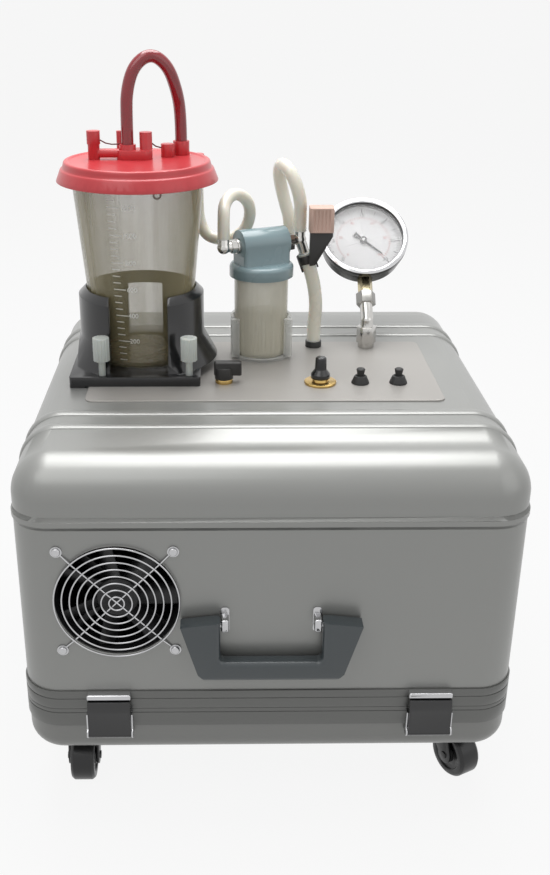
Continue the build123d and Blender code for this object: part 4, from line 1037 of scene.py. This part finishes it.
def wire_path(shape: BMesh, route: Sequence[Point], radius: float, sides: int = 10) -> None:
    """Sweep a round wire along straight runs given in millimetres.

    Args:
        shape: The mesh that receives the wire.
        route: Corner points in millimetres.
        radius: Wire radius in millimetres.
        sides: Faces round the wire.
    """
    loops = []
    side = None
    points = [Vector(p) for p in route]
    for index, point in enumerate(points):
        before = points[max(0, index - 1)]
        after = points[min(len(points) - 1, index + 1)]
        along = (after - before).normalized()
        side = along.orthogonal() if side is None else side - along * side.dot(along)
        side.normalize()
        other = along.cross(side)
        ring = []
        for step in range(sides):
            angle = 2 * math.pi * step / sides
            way = side * math.cos(angle) + other * math.sin(angle)
            ring.append(shape.verts.new(metres(point + way * radius)))
        loops.append(ring)
    for first, second in zip(loops, loops[1:]):
        for step in range(sides):
            after = (step + 1) % sides
            shape.faces.new((first[step], first[after], second[after], second[step]))
    shape.faces.new(loops[0][::-1])
    shape.faces.new(loops[-1])


def washer(
    shape: BMesh, centre: Vector, inner: float, outer: float, thick: float, facing: Vector
) -> None:
    """Add a flat ring.

    Args:
        shape: The mesh that receives the ring.
        centre: Middle of the ring in millimetres.
        inner: Hole radius in millimetres.
        outer: Outer radius in millimetres.
        thick: Thickness in millimetres.
        facing: Direction of its axis.
    """
    side = facing.orthogonal().normalized()
    other = facing.cross(side)
    steps = 28
    profile = ((inner, -thick / 2), (outer, -thick / 2), (outer, thick / 2), (inner, thick / 2))
    loops = []
    for step in range(steps):
        angle = 2 * math.pi * step / steps
        way = side * math.cos(angle) + other * math.sin(angle)
        loops.append([shape.verts.new(metres(centre + way * r + facing * h)) for r, h in profile])
    for step in range(steps):
        here, there = loops[step], loops[(step + 1) % steps]
        for corner in range(4):
            nxt = (corner + 1) % 4
            shape.faces.new((here[corner], here[nxt], there[nxt], there[corner]))


def print_text(text: str, size: float) -> BMesh:
    """A flat centred mesh, in the XY plane, of some plain figures of a size in metres."""
    data = bpy.data.curves.new("figures", "FONT")
    data.body = text
    data.size = size
    data.align_x = "CENTER"
    data.align_y = "CENTER"
    data.resolution_u = 3
    carrier = add_object("figures", data)
    bpy.context.view_layer.update()
    mesh = evaluated_mesh(carrier)
    bpy.data.objects.remove(carrier)
    shape = bmesh.new()
    shape.from_mesh(mesh)
    bpy.data.meshes.remove(mesh)
    return shape


def merge_into(
    target: BMesh, part: BMesh, place: Callable[[Vector], Vector]
) -> None:
    """Copy one bmesh into another with every vertex moved.

    Args:
        target: Mesh that receives the copy.
        part: Mesh that is copied and freed.
        place: Gives each vertex its new place.
    """
    part.verts.index_update()
    fresh = [target.verts.new(place(v.co)) for v in part.verts]
    for face in part.faces:
        target.faces.new([fresh[v.index] for v in face.verts])
    part.free()


# Collection jar


@dataclass
class Canister(Assembly):
    """Jar, lid, holder, thumb screws and the jar's printed scale."""

    axis: tuple[float, float] = (-130.0, back(268))
    foot: float = 393.5
    foot_radius: float = 50.0
    rim_radius: float = 68.0
    height: float = 197.0
    print_proud: float = 0.12
    scale_low: float = 402.0
    scale_step: float = 7.0
    scale_marks: int = 25
    figure_every: int = 4
    figure_value: int = 200
    tick_azimuth: float = -114.0
    figure_azimuth: float = -95.0
    mark_azimuth: float = -69.8
    mark_z: float = 575.0
    mark_ring: tuple[float, float, float] = (2.6, 4.4, 0.5)
    main_tick: float = 13.0
    short_tick: float = 8.0
    tick_width: float = 0.8
    figure_height: float = 7.0
    tether_radius: float = 0.7
    tethers: tuple[tuple[Point, ...], ...] = (
        (
            (-168.0, back(276), 617.0),
            (-162.0, back(277), 613.5),
            (-156.0, back(279), 612.0),
            (-148.0, back(284), 611.5),
        ),
        ((-116.5, back(284), 613.0), (-112.0, back(287), 609.0), (-106.5, back(290), 607.0)),
    )
    dressings: tuple[Dressing, ...] = (
        Dressing("canister_holder", Palette.HOLDER, 0.8),
        Dressing("thumb_screws", Palette.NYLON, 0.4),
        Dressing("canister_jar", Palette.JAR, 0.0, 40.0),
        Dressing("canister_lid", Palette.LID, 0.8),
        Dressing("lid_ports", Palette.LID, 0.6),
    )

    def on_wall(self, flat: Vector, azimuth: float, height: float) -> Vector:
        """Wrap a flat point round the jar.

        Args:
            flat: Point in the XY plane, in metres.
            azimuth: Middle of the print, in degrees from +X.
            height: Height of the print's middle in millimetres.

        Returns:
            The place on the jar, in metres.
        """
        z = height + flat.y / MM
        radius = self.foot_radius + (self.rim_radius - self.foot_radius) * (z - self.foot) / self.height
        radius += self.print_proud
        angle = math.radians(azimuth) + flat.x / MM / radius
        x, y = self.axis
        return metres((x + radius * math.cos(angle), y + radius * math.sin(angle), z))

    def scale(self) -> None:
        """Print ticks and plain figures on the jar."""
        shape = bmesh.new()
        for mark in range(self.scale_marks):
            z = self.scale_low + mark * self.scale_step
            main = mark % self.figure_every == self.figure_every - 1
            width = (self.main_tick if main else self.short_tick) * MM
            bar = bmesh.new()
            bmesh.ops.create_grid(bar, x_segments=4, y_segments=1, size=0.5)
            for v in bar.verts:
                v.co.x = (v.co.x + 0.5) * width
                v.co.y *= self.tick_width * MM
            merge_into(shape, bar, lambda co, z=z: self.on_wall(co, self.tick_azimuth, z))
            if main:
                value = (mark + 1) // self.figure_every * self.figure_value
                figures = print_text(str(value), self.figure_height * MM)
                merge_into(shape, figures, lambda co, z=z: self.on_wall(co, self.figure_azimuth, z))
        ride(from_bmesh(shape, "jar_scale", Palette.PRINT_WHITE), "case")

    def trim(self) -> None:
        """Add the cap tethers over the lid and the round moulded mark on the jar."""
        shape = bmesh.new()
        for route in self.tethers:
            wire_path(shape, route, self.tether_radius, sides=8)
        ride(from_bmesh(shape, "cap_tethers", Palette.TETHER), "case")
        spot = self.on_wall(Vector((0.0, 0.0, 0.0)), self.mark_azimuth, self.mark_z) / MM
        facing = Vector((spot.x - self.axis[0], spot.y - self.axis[1], 0.0)).normalized()
        shape = bmesh.new()
        washer(shape, spot, *self.mark_ring, facing)
        ride(from_bmesh(shape, "jar_mark", Palette.MARK), "case")

    def build(self) -> None:
        """Dress the jar, its lid and holder, and print the scale."""
        super().build()
        self.scale()
        self.trim()


@dataclass
class Trap(Assembly):
    """Overflow trap, fittings, filter and clamp."""

    dressings: tuple[Dressing, ...] = (
        Dressing("trap_holder", Palette.HOLDER_CLEAR, 0.3),
        Dressing("trap_jar", Palette.TRAP_CLEAR, 0.0, 40.0),
        Dressing("trap_cap", Palette.CAP_BLUE, 1.0),
        Dressing("hose_fittings", Palette.CHROME, 0.4),
        Dressing("cap_elbow", Palette.DARK, 0.4),
        Dressing("inline_filter", Palette.FILTER, 0.4),
        Dressing("filter_clamp", Palette.DARK, 0.4),
    )


# Gauge


PRINT_LIFT = 0.03


@dataclass
class Gauge(Assembly):
    """Tilted vacuum gauge with a printed dial."""

    dial_level: float = -6.9
    sweep_start: float = 225.0
    sweep: float = 270.0
    dressings: tuple[Dressing, ...] = (
        Dressing("gauge_case", Palette.GAUGE_BLACK, 0.5),
        Dressing("gauge_bezel", Palette.BEZEL, 0.4),
        Dressing("gauge_dial", Palette.DIAL, 0.0),
        Dressing("gauge_needle", Palette.NEEDLE, 0.0),
        Dressing("gauge_stem", Palette.STEM, 0.5),
    )

    def plane(self) -> Matrix:
        """Transform from the dial's own plane to the shared frame, in metres."""
        out = Vector(GAUGE_OUT)
        turn = Matrix((Vector((1.0, 0.0, 0.0)), Vector(GAUGE_UP), out)).transposed().to_4x4()
        middle = metres((GAUGE_X, DIAL_Y, DIAL_Z)) + out * self.dial_level * MM
        return Matrix.Translation(middle) @ turn

    def ticks(
        self, name: str, count: int, radius: float, length: float, width: float, finish: Finish
    ) -> None:
        """Print one row of ticks.

        Args:
            name: Name of the piece.
            count: Number of ticks.
            radius: Their middle radius in millimetres.
            length: Tick length in millimetres.
            width: Tick width in millimetres.
            finish: Ink.
        """
        step = -math.radians(self.sweep) / (count - 1)
        piece = tick_tree().bake(
            name,
            {
                "Ticks": count,
                "Radius": radius * MM,
                "Start": math.radians(self.sweep_start),
                "Step": step,
                "Length": length * MM,
                "Width": width * MM,
                "Finish": PALETTE.get(finish),
            },
            self.plane(),
            finish,
        )
        ride(piece, "case")

    def figures(
        self, name: str, values: Sequence[int], radius: float, size: float, finish: Finish
    ) -> None:
        """Print a row of plain numbers round the dial.

        Args:
            name: Name of the piece.
            values: The numbers, in order of the sweep.
            radius: Radius of their middles in millimetres.
            size: Figure height in millimetres.
            finish: Ink.
        """
        shape = bmesh.new()
        plane = self.plane()
        for index, value in enumerate(values):
            angle = math.radians(self.sweep_start - self.sweep * index / (len(values) - 1))
            spot = Vector((math.cos(angle) * radius, math.sin(angle) * radius, PRINT_LIFT)) * MM
            figure = print_text(str(value), size * MM)
            merge_into(shape, figure, lambda co, spot=spot: plane @ (co + spot))
        ride(from_bmesh(shape, name, finish), "case")

    def build(self) -> None:
        """Dress the gauge and print its dial."""
        super().build()
        coat_node("gauge_lens", Palette.LENS)
        ink, red = Palette.DIAL_INK, Palette.DIAL_RED
        self.ticks("dial_ticks_fine", count=61, radius=40.5, length=3.0, width=0.35, finish=ink)
        self.ticks("dial_ticks_main", count=13, radius=39.6, length=5.0, width=0.8, finish=ink)
        self.ticks("dial_ticks_red", count=51, radius=30.5, length=2.4, width=0.55, finish=red)
        self.figures("dial_numbers", range(0, 31, 5), radius=34.2, size=6.4, finish=ink)
        self.figures("dial_numbers_red", range(0, 101, 20), radius=26.0, size=4.4, finish=red)


@dataclass
class Controls(Assembly):
    """Valve, regulator and the two switches on the panel."""

    dressings: tuple[Dressing, ...] = (
        Dressing("valve_body", Palette.BRASS, 0.4),
        Dressing("valve_lever", Palette.DARK, 0.5),
        Dressing("regulator_bush", Palette.BRASS, 0.4),
        Dressing("regulator_knob", Palette.LATCH, 0.3),
        Dressing("toggle_bases", Palette.RUBBER, 0.3),
        Dressing("toggle_left", Palette.RUBBER, 0.3),
        Dressing("toggle_right", Palette.RUBBER, 0.3),
    )


@dataclass
class Casters(Assembly):
    """Forks and wheels under the tray."""

    dressings: tuple[Dressing, ...] = tuple(
        Dressing(f"caster_{part}_{spot}", Palette.CASTER, bevel)
        for spot in ("front_left", "front_right", "rear_left", "rear_right")
        for part, bevel in (("fork", 0.5), ("wheel", 0.6))
    )


@dataclass
class Inside(Assembly):
    """Pieces that show only when the case is open."""

    dressings: tuple[Dressing, ...] = (
        Dressing("chassis_plate", Palette.STEEL, 0.8),
        Dressing("vacuum_pump", Palette.PUMP, 0.8),
        Dressing("pump_mounts", Palette.RUBBER, 0.8),
    )


def main() -> None:
    """Build the studio and every sub-assembly in order."""
    logging.basicConfig(level=logging.INFO, format="%(name)s %(message)s")
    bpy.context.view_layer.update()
    top = (Canister(), Trap(), Gauge(), Controls())
    for assembly in (Studio(), HoseSet(), CaseShells(), *top, Casters(), Inside()):
        assembly.build()
        LOG.info("built %s", type(assembly).__name__)
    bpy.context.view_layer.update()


if __name__ == "__main__":
    main()
